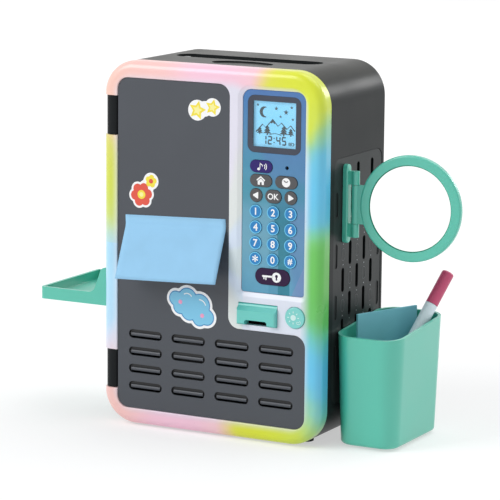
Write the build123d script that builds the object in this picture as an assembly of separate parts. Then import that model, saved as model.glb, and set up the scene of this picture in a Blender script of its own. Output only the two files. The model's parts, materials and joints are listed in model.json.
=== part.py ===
from build123d import *
from math import asin, atan, cos, degrees, pi, radians, sin, sqrt, tan
import os

# A toy electronic locker: a housing on feet, a front door with a keypad, side panels full of
# peg slots, and a cup, a tray and a mirror that hang on them. Lengths are in millimetres.
# X runs to the right, Y to the back and Z up. The origin is on the floor, under the middle.

# Overall form
WIDTH = 192.0
HEIGHT = 290.0
DEPTH = 110.0
FOOT_HEIGHT = 1.5
FOOT_RADIUS = 7.0
FOOT_INSET_X = 26.0
FOOT_INSET_Y = 14.0
CORNER_RADIUS = 27.0
WALL = 3.0
REAR_EDGE_RADIUS = 2.2
FIT_GAP = 0.3
FOOT_SEAT = 1.0
BACK_PANEL_SUNK = 0.6
REAR_FIELD_WIDTH = 134.0
REAR_FIELD_HEIGHT = 208.0
REAR_FIELD_RADIUS = 13.5
REAR_FIELD_SUNK = 0.8

# Door
DOOR_THICKNESS = 14.0
DOOR_EDGE_RADIUS = 6.5
DOOR_SKIRT = 2.5
DOOR_FRONT_WALL = 5.5
DOOR_BACK_THICKNESS = 2.0
DOOR_POCKET_RADIUS = 13.0
BAND = 13.0
MOUTH_EDGE_RADIUS = 0.9

# Dark door panel, L-shaped round the keypad
PANEL_RECESS = 1.2
PANEL_THICKNESS = 2.5
PANEL_RADIUS = 9.5
PANEL_NARROW_RIGHT = 16.3
PANEL_STEP_DROP = 29.8
PANEL_LEDGE = 4.0

# Louvred vents of the door panel
LOUVRE_COLUMNS = 4
LOUVRE_FIELD_MARGIN = 8.0
LOUVRE_PITCH_X = 38.5
LOUVRE_PITCH_Z = 13.93
LOUVRE_RAISE = 2.25
LOUVRE_LENGTH = 30.0
LOUVRE_HEIGHT = 7.0
LOUVRE_SLIT = 1.3
LOUVRE_BAR = 3.4
LOUVRE_BAR_INSET = 2.0
LOUVRE_SUNK = 0.2
LOUVRE_WEB = 0.9

# Keypad plate and its window
PLATE_LEFT = 27.0
PLATE_RIGHT = 81.0
PLATE_HEIGHT = 156.7
PLATE_TOP_MARGIN = 15.3
PLATE_RADIUS = 7.5
PLATE_LOWER_RADIUS = 2.4
PLATE_LEAST_RADIUS = 0.5
PLATE_RECESS = 1.8
PLATE_LIP = 0.4
PLATE_SLOPE = 3.6
PLATE_THICKNESS = 2.0
PLATE_LEDGE = 3.0
LENS_WIDTH = 45.6
LENS_HEIGHT = 44.0
LENS_RADIUS = 6.0
LENS_DROP = 26.2
LENS_THICKNESS = 1.4
LENS_LEDGE = 3.5
DISPLAY_THICKNESS = 2.5
SENSOR_X = 65.2
SENSOR_DROP = 58.3
SENSOR_DIAMETER = 3.0

# Keys
KEY_GAP = 0.3
KEY_PROUD = 0.6
KEY_LIP = 0.4
KEY_LIP_THICKNESS = 1.0
DIGIT_DIAMETER = 10.2
DIGIT_PITCH_X = 14.95
DIGIT_PITCH_Z = 12.2
DIGIT_DROP = 93.4
DIGITS = (("1", "2", "3"), ("4", "5", "6"), ("7", "8", "9"), ("star", "0", "hash"))
# name: centre X, drop of the centre below the plate's top, width, height
FUNCTION_KEYS = {
    "music": (43.3, 58.6, 19.0, 9.2),
    "home": (43.3, 69.5, 18.7, 9.2),
    "clock": (64.9, 69.4, 18.7, 9.2),
    "left": (39.2, 81.0, 10.4, 10.2),
    "ok": (54.0, 81.0, 13.6, 10.0),
    "right": (68.8, 81.0, 10.4, 10.2),
    "unlock": (54.0, 143.2, 29.6, 12.4),
}
KEY_MAT_THICKNESS = 1.0

# Door pull and light button
PULL_LEFT = 25.6
PULL_RIGHT = 59.1
PULL_HEIGHT = 16.4
PULL_DROP = 8.4
PULL_PROUD = 4.0
PULL_ROUND = 2.4
PULL_DEPTH = 4.0
PULL_PIN_DIAMETER = 2.0
PULL_PIN_SEAT = 3.0
PULL_PIN_RUN = 0.06
PULL_CHAMFER = 3.0
PULL_EDGE = 1.6
PULL_LOWER_EDGE = 1.0
NOTCH_WIDTH = 19.4
NOTCH_HEIGHT = 3.9
BUTTON_X = 74.5
BUTTON_DROP = 15.9
BUTTON_DIAMETER = 16.6
BUTTON_PROUD = 1.2
BUTTON_EDGE = 0.9
BUTTON_LIP = 1.2
BUTTON_LIP_THICKNESS = 1.0

# Door hinge
HINGE_BARREL_RADIUS = 6.0
HINGE_BARREL_LENGTH = 30.4
HINGE_OFFSET_Z = 101.0
HINGE_PIN_DIAMETER = 3.0
HINGE_PIN_RUN = 0.06
HINGE_PIN_SEAT = 6.0
HINGE_GAP = 0.4
HINGE_BLOCK_DEPTH = 4.5

# Electronics behind the keypad
BOARD_THICKNESS = 1.6
BOARD_BACK_OFFSET = 8.8
BOARD_MARGIN = 1.5
POST_DIAMETER = 2.6
POST_OFFSET_X = 20.0
POST_DROPS = (4.8, 49.9, 152.1)
COVER_LEFT = 28.0
COVER_RIGHT = 84.0
COVER_HEIGHT = 176.0
COVER_TOP_MARGIN = 14.0
COVER_DEPTH = 19.0
COVER_WALL = 2.0
COVER_RADIUS = 4.0
HATCH_MARGIN = 2.4
HATCH_RADIUS = 3.0
BATTERY_BOX_WALL = 1.2
CELL_DIAMETER = 14.5
CELL_LENGTH = 49.5
CELL_RISE = 14.0
CELL_PITCH = 14.9
CELL_COUNT = 3
CELL_NUB_DIAMETER = 5.4
CELL_NUB_HEIGHT = 1.2
SPEAKER_X = -19.25
SPEAKER_DIAMETER = 40.0
SPEAKER_DEPTH = 7.6
SPEAKER_MAGNET_DIAMETER = 20.0
SPEAKER_FLANGE = 2.0
SPEAKER_RIM = 3.0
SPEAKER_CONE_DEPTH = 1.4

# Lock: a rack on the bolt and a pinion on the motor
LOCK_DROP = 39.0
LOCK_MODULE = 1.0
PRESSURE_ANGLE = 20.0
TOOTH_TIP = 0.9
TOOTH_ROOT = 1.25
BACKLASH = 0.24
PINION_TEETH = 12
PINION_X = 62.0
PINION_WIDTH = 5.0
BOLT_DEPTH = 6.0
BOLT_HEIGHT = 7.0
BOLT_Y = -32.0
BOLT_LENGTH = 34.5
BOLT_GUIDE = 0.3
RACK_TEETH = 6
RACK_LINE_DROP = 0.25
MOTOR_DIAMETER = 16.0
MOTOR_LENGTH = 9.4
SHAFT_DIAMETER = 2.0
SHAFT_RUN = 0.08
SHAFT_SEAT = 3.5
MOTOR_NOSE = 1.0
MOTOR_NOSE_DIAMETER = 8.0
STRIKE_REACH = 6.5
STRIKE_THICKNESS = 4.0
STRIKE_HEIGHT = 18.0

# Side panels with peg slots
SIDE_PANEL_CENTRE_Y = 8.0
SIDE_PANEL_WIDTH = 84.0
SIDE_PANEL_BOTTOM = 32.0
SIDE_PANEL_TOP = 222.5
SIDE_PANEL_RADIUS = 9.0
SIDE_PANEL_RECESS = 0.3
SIDE_PANEL_FLANGE = 1.5
SIDE_PANEL_FLANGE_THICKNESS = 1.5
SLOT_LENGTH = 19.0
SLOT_WIDTH = 4.8
SLOT_PITCH_Y = 12.3
SLOT_TOP_Z = 207.0
SLOT_STEP_Z = 19.9
SLOT_ROWS = 9
SLOT_COLUMNS = 5
BLIND_SLOT_DEPTH = 0.6

# Carry handle in the top
HANDLE_SLOT_LENGTH = 127.0
HANDLE_SLOT_WIDTH = 22.0
HANDLE_SLOT_Y = 7.2
HANDLE_WELL_WALL = 2.0
HANDLE_WELL_LIP = 4.0
HANDLE_WELL_LIP_THICKNESS = 1.0
HANDLE_WELL_DEPTH = 12.0
HANDLE_SUNK = 2.4
HANDLE_THICKNESS = 7.0
HANDLE_SIDE_GAP = 2.5
HANDLE_TRAVEL = 28.0
HANDLE_LEG_WIDTH = 12.0
HANDLE_LEG_THICKNESS = 5.0
HANDLE_EDGE_RADIUS = 1.75
HANDLE_FOOT_THICKNESS = 3.0
HANDLE_FOOT_LIP = 2.0
HANDLE_STUD_DIAMETER = 7.0
HANDLE_STUD_INSET = 2.0
HANDLE_STUD_SEAT = 3.5
HANDLE_STUD_PROUD = 1.2
HANDLE_STUD_EDGE = 1.0
SCOOP_X = 10.0
SCOOP_LENGTH = 52.0
SCOOP_WIDTH = 26.0
SCOOP_DEPTH = 1.2
SCOOP_Y = -22.8

# Pieces that hang on the pegs
PEG_WIDTH = 3.4
PEG_HEIGHT = 13.0
PEG_REACH = 9.0
HANG_GAP = 0.3

# Mirror
BRACKET_THICKNESS = 4.0
BRACKET_WIDTH = 7.0
BRACKET_LENGTH = 61.0
BRACKET_EDGE = 1.2
BRACKET_WEB = 3.2
MIRROR_PIN_REACH = 9.2
MIRROR_PIN_DIAMETER = 2.4
MIRROR_PIN_RUN = 0.05
MIRROR_KNUCKLE_DIAMETER = 6.2
MIRROR_BARREL_LENGTH = 29.6
MIRROR_KNUCKLE_LENGTH = 10.4
MIRROR_RING_RADIUS = 40.8
MIRROR_GLASS_RADIUS = 33.4
MIRROR_REACH = 45.4
MIRROR_THICKNESS = 5.6
MIRROR_GLASS_THICKNESS = 2.0
MIRROR_GLASS_RECESS = 1.0
MIRROR_EDGE = 1.6
MIRROR_WEB_INSET = 0.6
MIRROR_TURN = 3.4

# Cup
CUP_REACH = 55.5
CUP_DEPTH = 94.0
CUP_CENTRE_Y = 10.0
CUP_BOTTOM = 2.0
CUP_FRONT_HEIGHT = 85.3
CUP_REAR_HEIGHT = 93.2
CUP_DRAFT = 3.5
CUP_WALL = 2.4
CUP_RADIUS = 16.0
CUP_BASE_RADIUS = 3.0

# Tray
TRAY_REACH = 68.0
TRAY_DEPTH = 90.0
TRAY_CENTRE_Y = 6.2
TRAY_BOTTOM = 90.8
TRAY_LIP_HEIGHT = 9.8
TRAY_BACK_HEIGHT = 30.6
TRAY_WALL = 2.5
TRAY_RISE_FOOT = 18.2
TRAY_RISE_CREST = 10.9
TRAY_SWEEP_RADIUS = 7.0
TRAY_CREST_RADIUS = 5.0
TRAY_RADIUS = 3.0

# Note pad, marker and the curled note on the door
PAD_WIDTH = 61.5
PAD_HEIGHT = 96.0
PAD_THICKNESS = 2.0
PAD_X = 118.5
PAD_Y = 16.0
PAD_ANGLE = 67.0
PAD_FLOOR_GAP = 0.4
MARKER_DIAMETER = 10.0
MARKER_LENGTH = 147.0
MARKER_CAP_LENGTH = 29.0
MARKER_CAP_SEAT = 8.0
MARKER_CAP_WALL = 1.4
MARKER_EDGE = 1.8
NIB_LENGTH = 12.0
NIB_DIAMETER = 4.4
NIB_TIP_DIAMETER = 2.0
MARKER_FOOT_X = 114.7
MARKER_FOOT_Y = -20.0
MARKER_LEAN = (0.313, 0.632)
NOTE_WIDTH = 89.0
NOTE_THICKNESS = 0.6
NOTE_LEFT = -75.8
NOTE_TOP_DROP = 119.0
NOTE_STRIP = 6.0
NOTE_DROP = 43.0
NOTE_LIFT = 20.0
NOTE_TILT = 2.4

# Places worked out from the sizes
BODY_HEIGHT = HEIGHT - FOOT_HEIGHT
MID_Z = FOOT_HEIGHT + BODY_HEIGHT / 2
SIDE = WIDTH / 2
FRONT = -DEPTH / 2
REAR = DEPTH / 2
DOOR_BACK = FRONT + DOOR_THICKNESS
HOUSING_FRONT = DOOR_BACK + FIT_GAP
HINGE_X = -SIDE + DOOR_THICKNESS / 2
HINGE_Y = FRONT + DOOR_THICKNESS / 2
PANEL_FACE = FRONT + PANEL_RECESS
PANEL_BACK = PANEL_FACE + PANEL_THICKNESS
PANEL_HALF = SIDE - BAND
PANEL_BOTTOM = FOOT_HEIGHT + BAND
PLATE_FACE = FRONT + PLATE_RECESS
PLATE_BACK = PLATE_FACE + PLATE_THICKNESS
PLATE_X = (PLATE_LEFT + PLATE_RIGHT) / 2
PLATE_TOP = HEIGHT - PLATE_TOP_MARGIN
PLATE_BOTTOM = PLATE_TOP - PLATE_HEIGHT
PANEL_STEP = PLATE_BOTTOM - PANEL_STEP_DROP
LENS_CENTRE_Z = PLATE_TOP - LENS_DROP
LOUVRE_CENTRE_Z = (PANEL_BOTTOM + PANEL_STEP) / 2 + LOUVRE_RAISE
LOUVRE_ROWS = int((PANEL_STEP - PANEL_BOTTOM - 2 * LOUVRE_FIELD_MARGIN) / LOUVRE_PITCH_Z)
WALL_BACK = FRONT + DOOR_FRONT_WALL
BOARD_BACK = FRONT + BOARD_BACK_OFFSET
BOARD_FRONT = BOARD_BACK - BOARD_THICKNESS
COVER_FRONT = DOOR_BACK - DOOR_BACK_THICKNESS
COVER_BACK = COVER_FRONT + COVER_DEPTH + DOOR_BACK_THICKNESS
COVER_TOP = HEIGHT - COVER_TOP_MARGIN
COVER_BOTTOM = COVER_TOP - COVER_HEIGHT
CELL_BOTTOM = COVER_BOTTOM + CELL_RISE
PULL_X = (PULL_LEFT + PULL_RIGHT) / 2
PULL_TOP = PLATE_BOTTOM - PULL_DROP
PULL_BOTTOM = PULL_TOP - PULL_HEIGHT
BUTTON_Z = PLATE_BOTTOM - BUTTON_DROP
PULL_PIN_Z = PULL_TOP - PULL_ROUND
PULL_PIN_Y = FRONT + PULL_ROUND - MOUTH_EDGE_RADIUS + FIT_GAP
MIRROR_PIN_X = SIDE + HANG_GAP + MIRROR_PIN_REACH
MIRROR_Y = SIDE_PANEL_CENTRE_Y - 2 * SLOT_PITCH_Y
BRACKET_Z = SLOT_TOP_Z - SLOT_STEP_Z
TOOTH_PITCH = pi * LOCK_MODULE
PITCH_RADIUS = LOCK_MODULE * PINION_TEETH / 2
LOCK_Z = HEIGHT - LOCK_DROP
BOLT_BOTTOM = LOCK_Z - BOLT_HEIGHT / 2
RACK_LINE = BOLT_BOTTOM - RACK_LINE_DROP * LOCK_MODULE
PINION_Z = RACK_LINE - PITCH_RADIUS
MOTOR_BACK = BOARD_BACK + FIT_GAP + MOTOR_LENGTH


def front_slab(outline, y_front, y_back):
    """A solid between two depths, from an outline drawn on the front view."""
    return extrude(Plane.XZ.offset(-y_back) * outline, y_back - y_front)


def side_slab(outline, x_left, x_right):
    """A solid between two sides, from an outline drawn on the side view."""
    return extrude(Plane.YZ.offset(x_left) * outline, x_right - x_left)


def top_slab(outline, z_bottom, z_top):
    """A solid between two heights, from an outline drawn on the top view."""
    return extrude(Plane.XY.offset(z_bottom) * outline, z_top - z_bottom)


def block(x_left, x_right, y_front, y_back, z_bottom, z_top):
    """A box between six planes."""
    middle = Pos((x_left + x_right) / 2, (y_front + y_back) / 2, (z_bottom + z_top) / 2)
    return middle * Box(x_right - x_left, y_back - y_front, z_top - z_bottom)


def upright(radius, x, y, z_bottom, z_top):
    """A vertical cylinder."""
    return Pos(x, y, (z_bottom + z_top) / 2) * Cylinder(radius, z_top - z_bottom)


def facing(radius, x, z, y_front, y_back):
    """A cylinder whose axis runs from front to back."""
    return front_slab(Pos(x, z) * Circle(radius), y_front, y_back)


def body_outline(inset=0.0):
    """The rounded front outline that door and housing share."""
    width = WIDTH - 2 * inset
    height = BODY_HEIGHT - 2 * inset
    return Pos(0, MID_Z) * RectangleRounded(width, height, CORNER_RADIUS - inset)


def panel_outline(inset=0.0):
    """The L-shaped outline of the dark door panel, drawn in by an inset."""
    left = -PANEL_HALF + inset
    right = PANEL_HALF - inset
    narrow = PANEL_NARROW_RIGHT - inset
    bottom = PANEL_BOTTOM + inset
    step = PANEL_STEP - inset
    top = HEIGHT - BAND - inset
    corners = [(left, bottom), (right, bottom), (right, step), (narrow, step), (narrow, top), (left, top)]
    outline = make_face(Polyline(*corners, close=True))
    inner = outline.vertices().sort_by_distance((narrow, step))[0]
    outline = fillet([inner], PANEL_RADIUS + inset)
    outer = [outline.vertices().sort_by_distance(c)[0] for c in corners if c != (narrow, step)]
    return fillet(outer, PANEL_RADIUS - inset)


def plate_outline(inset=0.0):
    """The outline of the keypad plate, drawn in by an inset."""
    width = PLATE_RIGHT - PLATE_LEFT - 2 * inset
    height = PLATE_TOP - PLATE_BOTTOM - 2 * inset
    lower_radius = max(PLATE_LOWER_RADIUS - inset, PLATE_LEAST_RADIUS)
    plate = Pos(PLATE_X, (PLATE_BOTTOM + PLATE_TOP) / 2) * Rectangle(width, height)
    plate = fillet(plate.vertices().sort_by(Axis.Y)[2:], PLATE_RADIUS - inset)
    return fillet(plate.vertices().sort_by(Axis.Y)[:2], lower_radius)


def pill(width, height):
    """A stadium with round ends, standing or lying."""
    if width > height:
        return SlotOverall(width, height)
    if height > width:
        return SlotOverall(height, width, rotation=90)
    return Circle(width / 2)


def key_table():
    """Name, centre and size of every key on the plate."""
    keys = []
    for name, (x, drop, width, height) in FUNCTION_KEYS.items():
        keys.append(("key_" + name, x, PLATE_TOP - drop, width, height))
    for row, names in enumerate(DIGITS):
        for column, name in enumerate(names):
            x = PLATE_X + (column - 1) * DIGIT_PITCH_X
            z = PLATE_TOP - DIGIT_DROP - row * DIGIT_PITCH_Z
            keys.append(("key_" + name, x, z, DIGIT_DIAMETER, DIGIT_DIAMETER))
    return keys


def hinge_centres():
    """Heights of the two door hinges."""
    return (MID_Z - HINGE_OFFSET_Z, MID_Z + HINGE_OFFSET_Z)


def cell_x(number):
    """Centre of one battery cell."""
    middle = (COVER_LEFT + COVER_RIGHT) / 2
    return middle + (number - (CELL_COUNT - 1) / 2) * CELL_PITCH


# Housing

def housing_shell():
    shell = front_slab(body_outline(), HOUSING_FRONT, REAR)
    shell = fillet(shell.faces().sort_by(Axis.Y)[-1].edges(), REAR_EDGE_RADIUS)
    shell -= front_slab(body_outline(WALL), HOUSING_FRONT - 1, REAR + 1)
    for side in (-1, 1):
        opening = side_panel_outline(FIT_GAP)
        x_inner = side * (SIDE - WALL / 2) - WALL
        shell -= side_slab(opening, x_inner, x_inner + 2 * WALL)
    slot = Pos(0, HANDLE_SLOT_Y) * pill(HANDLE_SLOT_LENGTH, HANDLE_SLOT_WIDTH)
    shell -= top_slab(slot, HEIGHT - 2 * WALL, HEIGHT + 1)
    scoop = Pos(SCOOP_X, SCOOP_Y) * Ellipse(SCOOP_LENGTH / 2, SCOOP_WIDTH / 2)
    shell -= top_slab(scoop, HEIGHT - SCOOP_DEPTH, HEIGHT + 1)
    for centre in hinge_centres():
        shell += hinge_barrel(centre)
    for centre in hinge_centres():
        bore = HINGE_PIN_DIAMETER / 2 + HINGE_PIN_RUN
        shell -= upright(bore, HINGE_X, HINGE_Y, centre - HINGE_BARREL_LENGTH, centre + HINGE_BARREL_LENGTH)
    for x, y in foot_places():
        shell -= upright(FOOT_RADIUS, x, y, 0, FOOT_HEIGHT + FOOT_SEAT)
    return shell


def hinge_barrel(centre):
    bottom = centre - HINGE_BARREL_LENGTH / 2
    top = centre + HINGE_BARREL_LENGTH / 2
    barrel = upright(HINGE_BARREL_RADIUS, HINGE_X, HINGE_Y, bottom, top)
    left = HINGE_X - HINGE_BARREL_RADIUS + 1
    right = HINGE_X + HINGE_BARREL_RADIUS - 1
    neck = block(left, right, HINGE_Y, HOUSING_FRONT + HINGE_BLOCK_DEPTH, bottom, top)
    inside = block(-SIDE, left, HINGE_Y, HOUSING_FRONT, bottom, top)
    return barrel + (neck - inside)


def foot_places():
    """A foot near each corner, and one in the middle that keeps the wide bottom from sagging."""
    x = SIDE - FOOT_INSET_X
    return [(-x, HOUSING_FRONT + FOOT_INSET_Y), (x, HOUSING_FRONT + FOOT_INSET_Y),
            (-x, REAR - FOOT_INSET_Y), (x, REAR - FOOT_INSET_Y), (0, 0)]


def feet():
    pads = [upright(FOOT_RADIUS, x, y, 0, FOOT_HEIGHT + FOOT_SEAT) for x, y in foot_places()]
    return Compound(children=pads)


def back_panel():
    face = REAR - BACK_PANEL_SUNK
    panel = front_slab(body_outline(WALL + FIT_GAP), REAR - WALL, face)
    field = Pos(0, MID_Z) * RectangleRounded(REAR_FIELD_WIDTH, REAR_FIELD_HEIGHT, REAR_FIELD_RADIUS)
    return panel - front_slab(field, face - REAR_FIELD_SUNK, REAR)


def side_panel_outline(inset=0.0):
    """Outline of a side panel on the side view; a negative inset draws it out."""
    height = SIDE_PANEL_TOP - SIDE_PANEL_BOTTOM
    place = Pos(SIDE_PANEL_CENTRE_Y, (SIDE_PANEL_TOP + SIDE_PANEL_BOTTOM) / 2)
    width = SIDE_PANEL_WIDTH + 2 * inset
    return place * RectangleRounded(width, height + 2 * inset, SIDE_PANEL_RADIUS + inset)


def slot_grid():
    """Places of the through slots: columns at odd and even numbers are staggered by a step."""
    places = []
    for row in range(SLOT_ROWS):
        for column in range(SLOT_COLUMNS):
            if (row + column) % 2 == 0:
                y = SIDE_PANEL_CENTRE_Y + (column - (SLOT_COLUMNS - 1) / 2) * SLOT_PITCH_Y
                places.append((y, SLOT_TOP_Z - row * SLOT_STEP_Z))
    return places


def blind_grid():
    """Places of the shallow outer pills, one column at the front and one at the back."""
    reach = (SLOT_COLUMNS + 1) / 2 * SLOT_PITCH_Y
    rows = range(1, SLOT_ROWS, 2)
    columns = (SIDE_PANEL_CENTRE_Y - reach, SIDE_PANEL_CENTRE_Y + reach)
    return [(y, SLOT_TOP_Z - row * SLOT_STEP_Z) for row in rows for y in columns]


def side_panel(side):
    outer = SIDE - SIDE_PANEL_RECESS
    inner = SIDE - WALL
    flange = inner - SIDE_PANEL_FLANGE_THICKNESS
    panel = side_slab(side_panel_outline(), inner, outer)
    panel += side_slab(side_panel_outline(SIDE_PANEL_FLANGE), flange, inner)
    slots = [Pos(y, z) * pill(SLOT_WIDTH, SLOT_LENGTH) for y, z in slot_grid()]
    panel -= side_slab(Sketch() + slots, flange - 1, outer + 1)
    blind = [Pos(y, z) * pill(SLOT_WIDTH, SLOT_LENGTH) for y, z in blind_grid()]
    panel -= side_slab(Sketch() + blind, outer - BLIND_SLOT_DEPTH, outer + 1)
    return panel if side > 0 else mirror(panel, Plane.YZ)


def hinge_pins():
    half = HINGE_BARREL_LENGTH / 2 + HINGE_GAP + HINGE_PIN_SEAT
    radius = HINGE_PIN_DIAMETER / 2
    pins = [upright(radius, HINGE_X, HINGE_Y, z - half, z + half) for z in hinge_centres()]
    return Compound(children=pins)


def strike():
    wall = SIDE - WALL
    front = BOLT_Y - BOLT_DEPTH / 2 - 2 * FIT_GAP - STRIKE_THICKNESS
    back = front + STRIKE_THICKNESS
    low = LOCK_Z - STRIKE_HEIGHT / 2
    keeper = block(wall - STRIKE_REACH, wall, front, back, low, low + STRIKE_HEIGHT)
    tips = keeper.faces().sort_by(Axis.X)[0].edges().filter_by(Axis.Y)
    return fillet(tips, STRIKE_THICKNESS / 2)


# Carry handle

def handle_well():
    wall = HANDLE_WELL_WALL
    top = HEIGHT - WALL
    bottom = HEIGHT - HANDLE_WELL_DEPTH
    lip = wall + HANDLE_WELL_LIP
    inside = pill(HANDLE_SLOT_LENGTH, HANDLE_SLOT_WIDTH)
    outside = pill(HANDLE_SLOT_LENGTH + 2 * wall, HANDLE_SLOT_WIDTH + 2 * wall)
    flange = pill(HANDLE_SLOT_LENGTH + 2 * lip, HANDLE_SLOT_WIDTH + 2 * lip)
    well = top_slab(outside, bottom - wall, top) + top_slab(flange, top - HANDLE_WELL_LIP_THICKNESS, top)
    well -= top_slab(inside, bottom, top + 1)
    hole = Rectangle(HANDLE_LEG_WIDTH + 2 * FIT_GAP, HANDLE_LEG_THICKNESS + 2 * FIT_GAP)
    for side in (-1, 1):
        well -= top_slab(Pos(side * handle_leg_x(), 0) * hole, bottom - wall - 1, bottom + 1)
    return Pos(0, HANDLE_SLOT_Y) * well


def handle_bar_length():
    return HANDLE_SLOT_LENGTH - 2 * HANDLE_SIDE_GAP


def handle_leg_x():
    return handle_bar_length() / 2 - HANDLE_LEG_WIDTH


def handle_top():
    return HEIGHT - HANDLE_SUNK


def carry_handle():
    top = handle_top()
    under = top - HANDLE_THICKNESS
    bar = top_slab(pill(handle_bar_length(), HANDLE_SLOT_WIDTH - 2 * HANDLE_SIDE_GAP), under, top)
    bar = fillet(bar.faces().sort_by(Axis.Z)[-1].edges(), HANDLE_EDGE_RADIUS)
    well_under = HEIGHT - HANDLE_WELL_DEPTH - HANDLE_WELL_WALL
    foot_top = well_under - HANDLE_TRAVEL - FIT_GAP
    leg = Rectangle(HANDLE_LEG_WIDTH, HANDLE_LEG_THICKNESS)
    foot = Rectangle(HANDLE_LEG_WIDTH + 2 * HANDLE_FOOT_LIP, HANDLE_LEG_THICKNESS + 2 * HANDLE_FOOT_LIP)
    for side in (-1, 1):
        x = side * handle_leg_x()
        bar += top_slab(Pos(x, 0) * leg, foot_top, under)
        bar += top_slab(Pos(x, 0) * foot, foot_top - HANDLE_FOOT_THICKNESS, foot_top)
    bar -= upright(HANDLE_STUD_DIAMETER / 2, stud_x(), 0, top - HANDLE_STUD_SEAT, top + 1)
    return Pos(0, HANDLE_SLOT_Y) * bar


def stud_x():
    return HANDLE_STUD_DIAMETER / 2 + HANDLE_STUD_INSET - handle_bar_length() / 2


def handle_stud():
    top = handle_top()
    low = top - HANDLE_STUD_SEAT
    stud = upright(HANDLE_STUD_DIAMETER / 2, stud_x(), HANDLE_SLOT_Y, low, top + HANDLE_STUD_PROUD)
    return fillet(stud.faces().sort_by(Axis.Z)[-1].edges(), HANDLE_STUD_EDGE)


# Door

def door_frame():
    frame = front_slab(body_outline(), FRONT, DOOR_BACK)
    frame = fillet(frame.faces().sort_by(Axis.Y)[0].edges(), DOOR_EDGE_RADIUS)
    roll = DOOR_THICKNESS / 2
    left_of_axis = block(-SIDE - 1, HINGE_X, FRONT - 1, DOOR_BACK + 1, 0, HEIGHT + 1)
    frame -= left_of_axis - upright(roll, HINGE_X, HINGE_Y, -1, HEIGHT + 2)
    frame -= front_slab(panel_outline(), FRONT - 1, PANEL_BACK)
    frame -= front_slab(panel_outline(PANEL_LEDGE), FRONT - 1, DOOR_BACK)
    frame -= front_slab(plate_outline(), FRONT - 1, PLATE_BACK)
    frame -= front_slab(plate_outline(PLATE_LEDGE), FRONT - 1, DOOR_BACK)
    frame -= plate_slope()
    frame = fillet(mouth_edges(frame), MOUTH_EDGE_RADIUS)
    frame -= front_slab(pocket_outline(), WALL_BACK, DOOR_BACK + 1)
    frame -= block(PULL_LEFT - FIT_GAP, PULL_RIGHT + FIT_GAP, FRONT - 1, DOOR_BACK,
                   PULL_BOTTOM - 2 * FIT_GAP, PULL_TOP + FIT_GAP)
    frame -= facing(BUTTON_DIAMETER / 2 + KEY_GAP, BUTTON_X, BUTTON_Z, FRONT - 1, DOOR_BACK)
    frame -= pull_pin_bar(PULL_PIN_RUN)
    for centre in hinge_centres():
        half = HINGE_BARREL_LENGTH / 2 + HINGE_GAP
        reach = HINGE_X + HINGE_BARREL_RADIUS + HINGE_GAP
        frame -= block(-SIDE - 1, reach, FRONT - 1, DOOR_BACK + 1, centre - half, centre + half)
        bore = HINGE_PIN_DIAMETER / 2 + HINGE_PIN_RUN
        depth = half + HINGE_PIN_SEAT + FIT_GAP
        frame -= upright(bore, HINGE_X, HINGE_Y, centre - depth, centre + depth)
    return frame


def plate_slope():
    """The soft slope from the door's front down to the keypad plate."""
    depth = PLATE_RECESS - PLATE_LIP
    top = Plane.XZ.offset(-FRONT) * plate_outline(-PLATE_SLOPE)
    return extrude(top, -depth, taper=degrees(atan(PLATE_SLOPE / depth)))


def mouth_edges(frame):
    """Front edges of the two mouths that hold the panel and the keypad plate."""
    face = frame.faces().filter_by(Axis.Y).sort_by(Axis.Y)[0]
    return ShapeList([edge for wire in face.inner_wires() for edge in wire.edges()])


def pocket_outline(inset=0.0):
    """The hollow behind the door's front wall; the hinge side stays solid."""
    left = HINGE_X + HINGE_BARREL_RADIUS + HINGE_GAP + 1 + inset
    right = SIDE - DOOR_SKIRT - inset
    height = BODY_HEIGHT - 2 * DOOR_SKIRT - 2 * inset
    pocket = Pos((left + right) / 2, MID_Z) * RectangleRounded(right - left, height, DOOR_POCKET_RADIUS)
    return pocket & body_outline(DOOR_SKIRT + inset)


def door_panel():
    panel = front_slab(panel_outline(FIT_GAP), PANEL_FACE, PANEL_BACK)
    pills = Sketch() + [Pos(x, z) * pill(LOUVRE_LENGTH, LOUVRE_HEIGHT) for x, z in louvre_grid()]
    panel -= front_slab(pills, PANEL_FACE - 1, PANEL_BACK + 1)
    blade = louvre_blade()
    for x, z in louvre_grid():
        panel += Pos(x, 0, z) * blade
    return panel


def louvre_grid():
    """Places of the vents: as many rows as the field below the keypad holds."""
    columns = [(i - (LOUVRE_COLUMNS - 1) / 2) * LOUVRE_PITCH_X for i in range(LOUVRE_COLUMNS)]
    rows = [(i - (LOUVRE_ROWS - 1) / 2) * LOUVRE_PITCH_Z for i in range(LOUVRE_ROWS)]
    return [(x, LOUVRE_CENTRE_Z + z) for z in rows for x in columns]


def louvre_blade():
    """A round-nosed bar on a web, with a groove above it and a slit below."""
    low = LOUVRE_SLIT - LOUVRE_HEIGHT / 2
    high = low + LOUVRE_BAR
    web_front = PANEL_BACK - LOUVRE_WEB
    nose = ThreePointArc(
        (web_front, low), (PANEL_FACE + LOUVRE_SUNK, (low + high) / 2), (web_front, high))
    back = Polyline((web_front, high), (PANEL_BACK, high), (PANEL_BACK, low), (web_front, low))
    profile = make_face(nose + back)
    half = LOUVRE_LENGTH / 2
    bar = side_slab(profile, LOUVRE_BAR_INSET - half, half - LOUVRE_BAR_INSET)
    above_slit = block(-half, half, web_front, PANEL_BACK, low, LOUVRE_HEIGHT / 2)
    web = above_slit & front_slab(pill(LOUVRE_LENGTH, LOUVRE_HEIGHT), web_front, PANEL_BACK)
    return web + bar


def door_back():
    return front_slab(pocket_outline(FIT_GAP) - cover_outline(-FIT_GAP), COVER_FRONT, DOOR_BACK)


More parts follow.
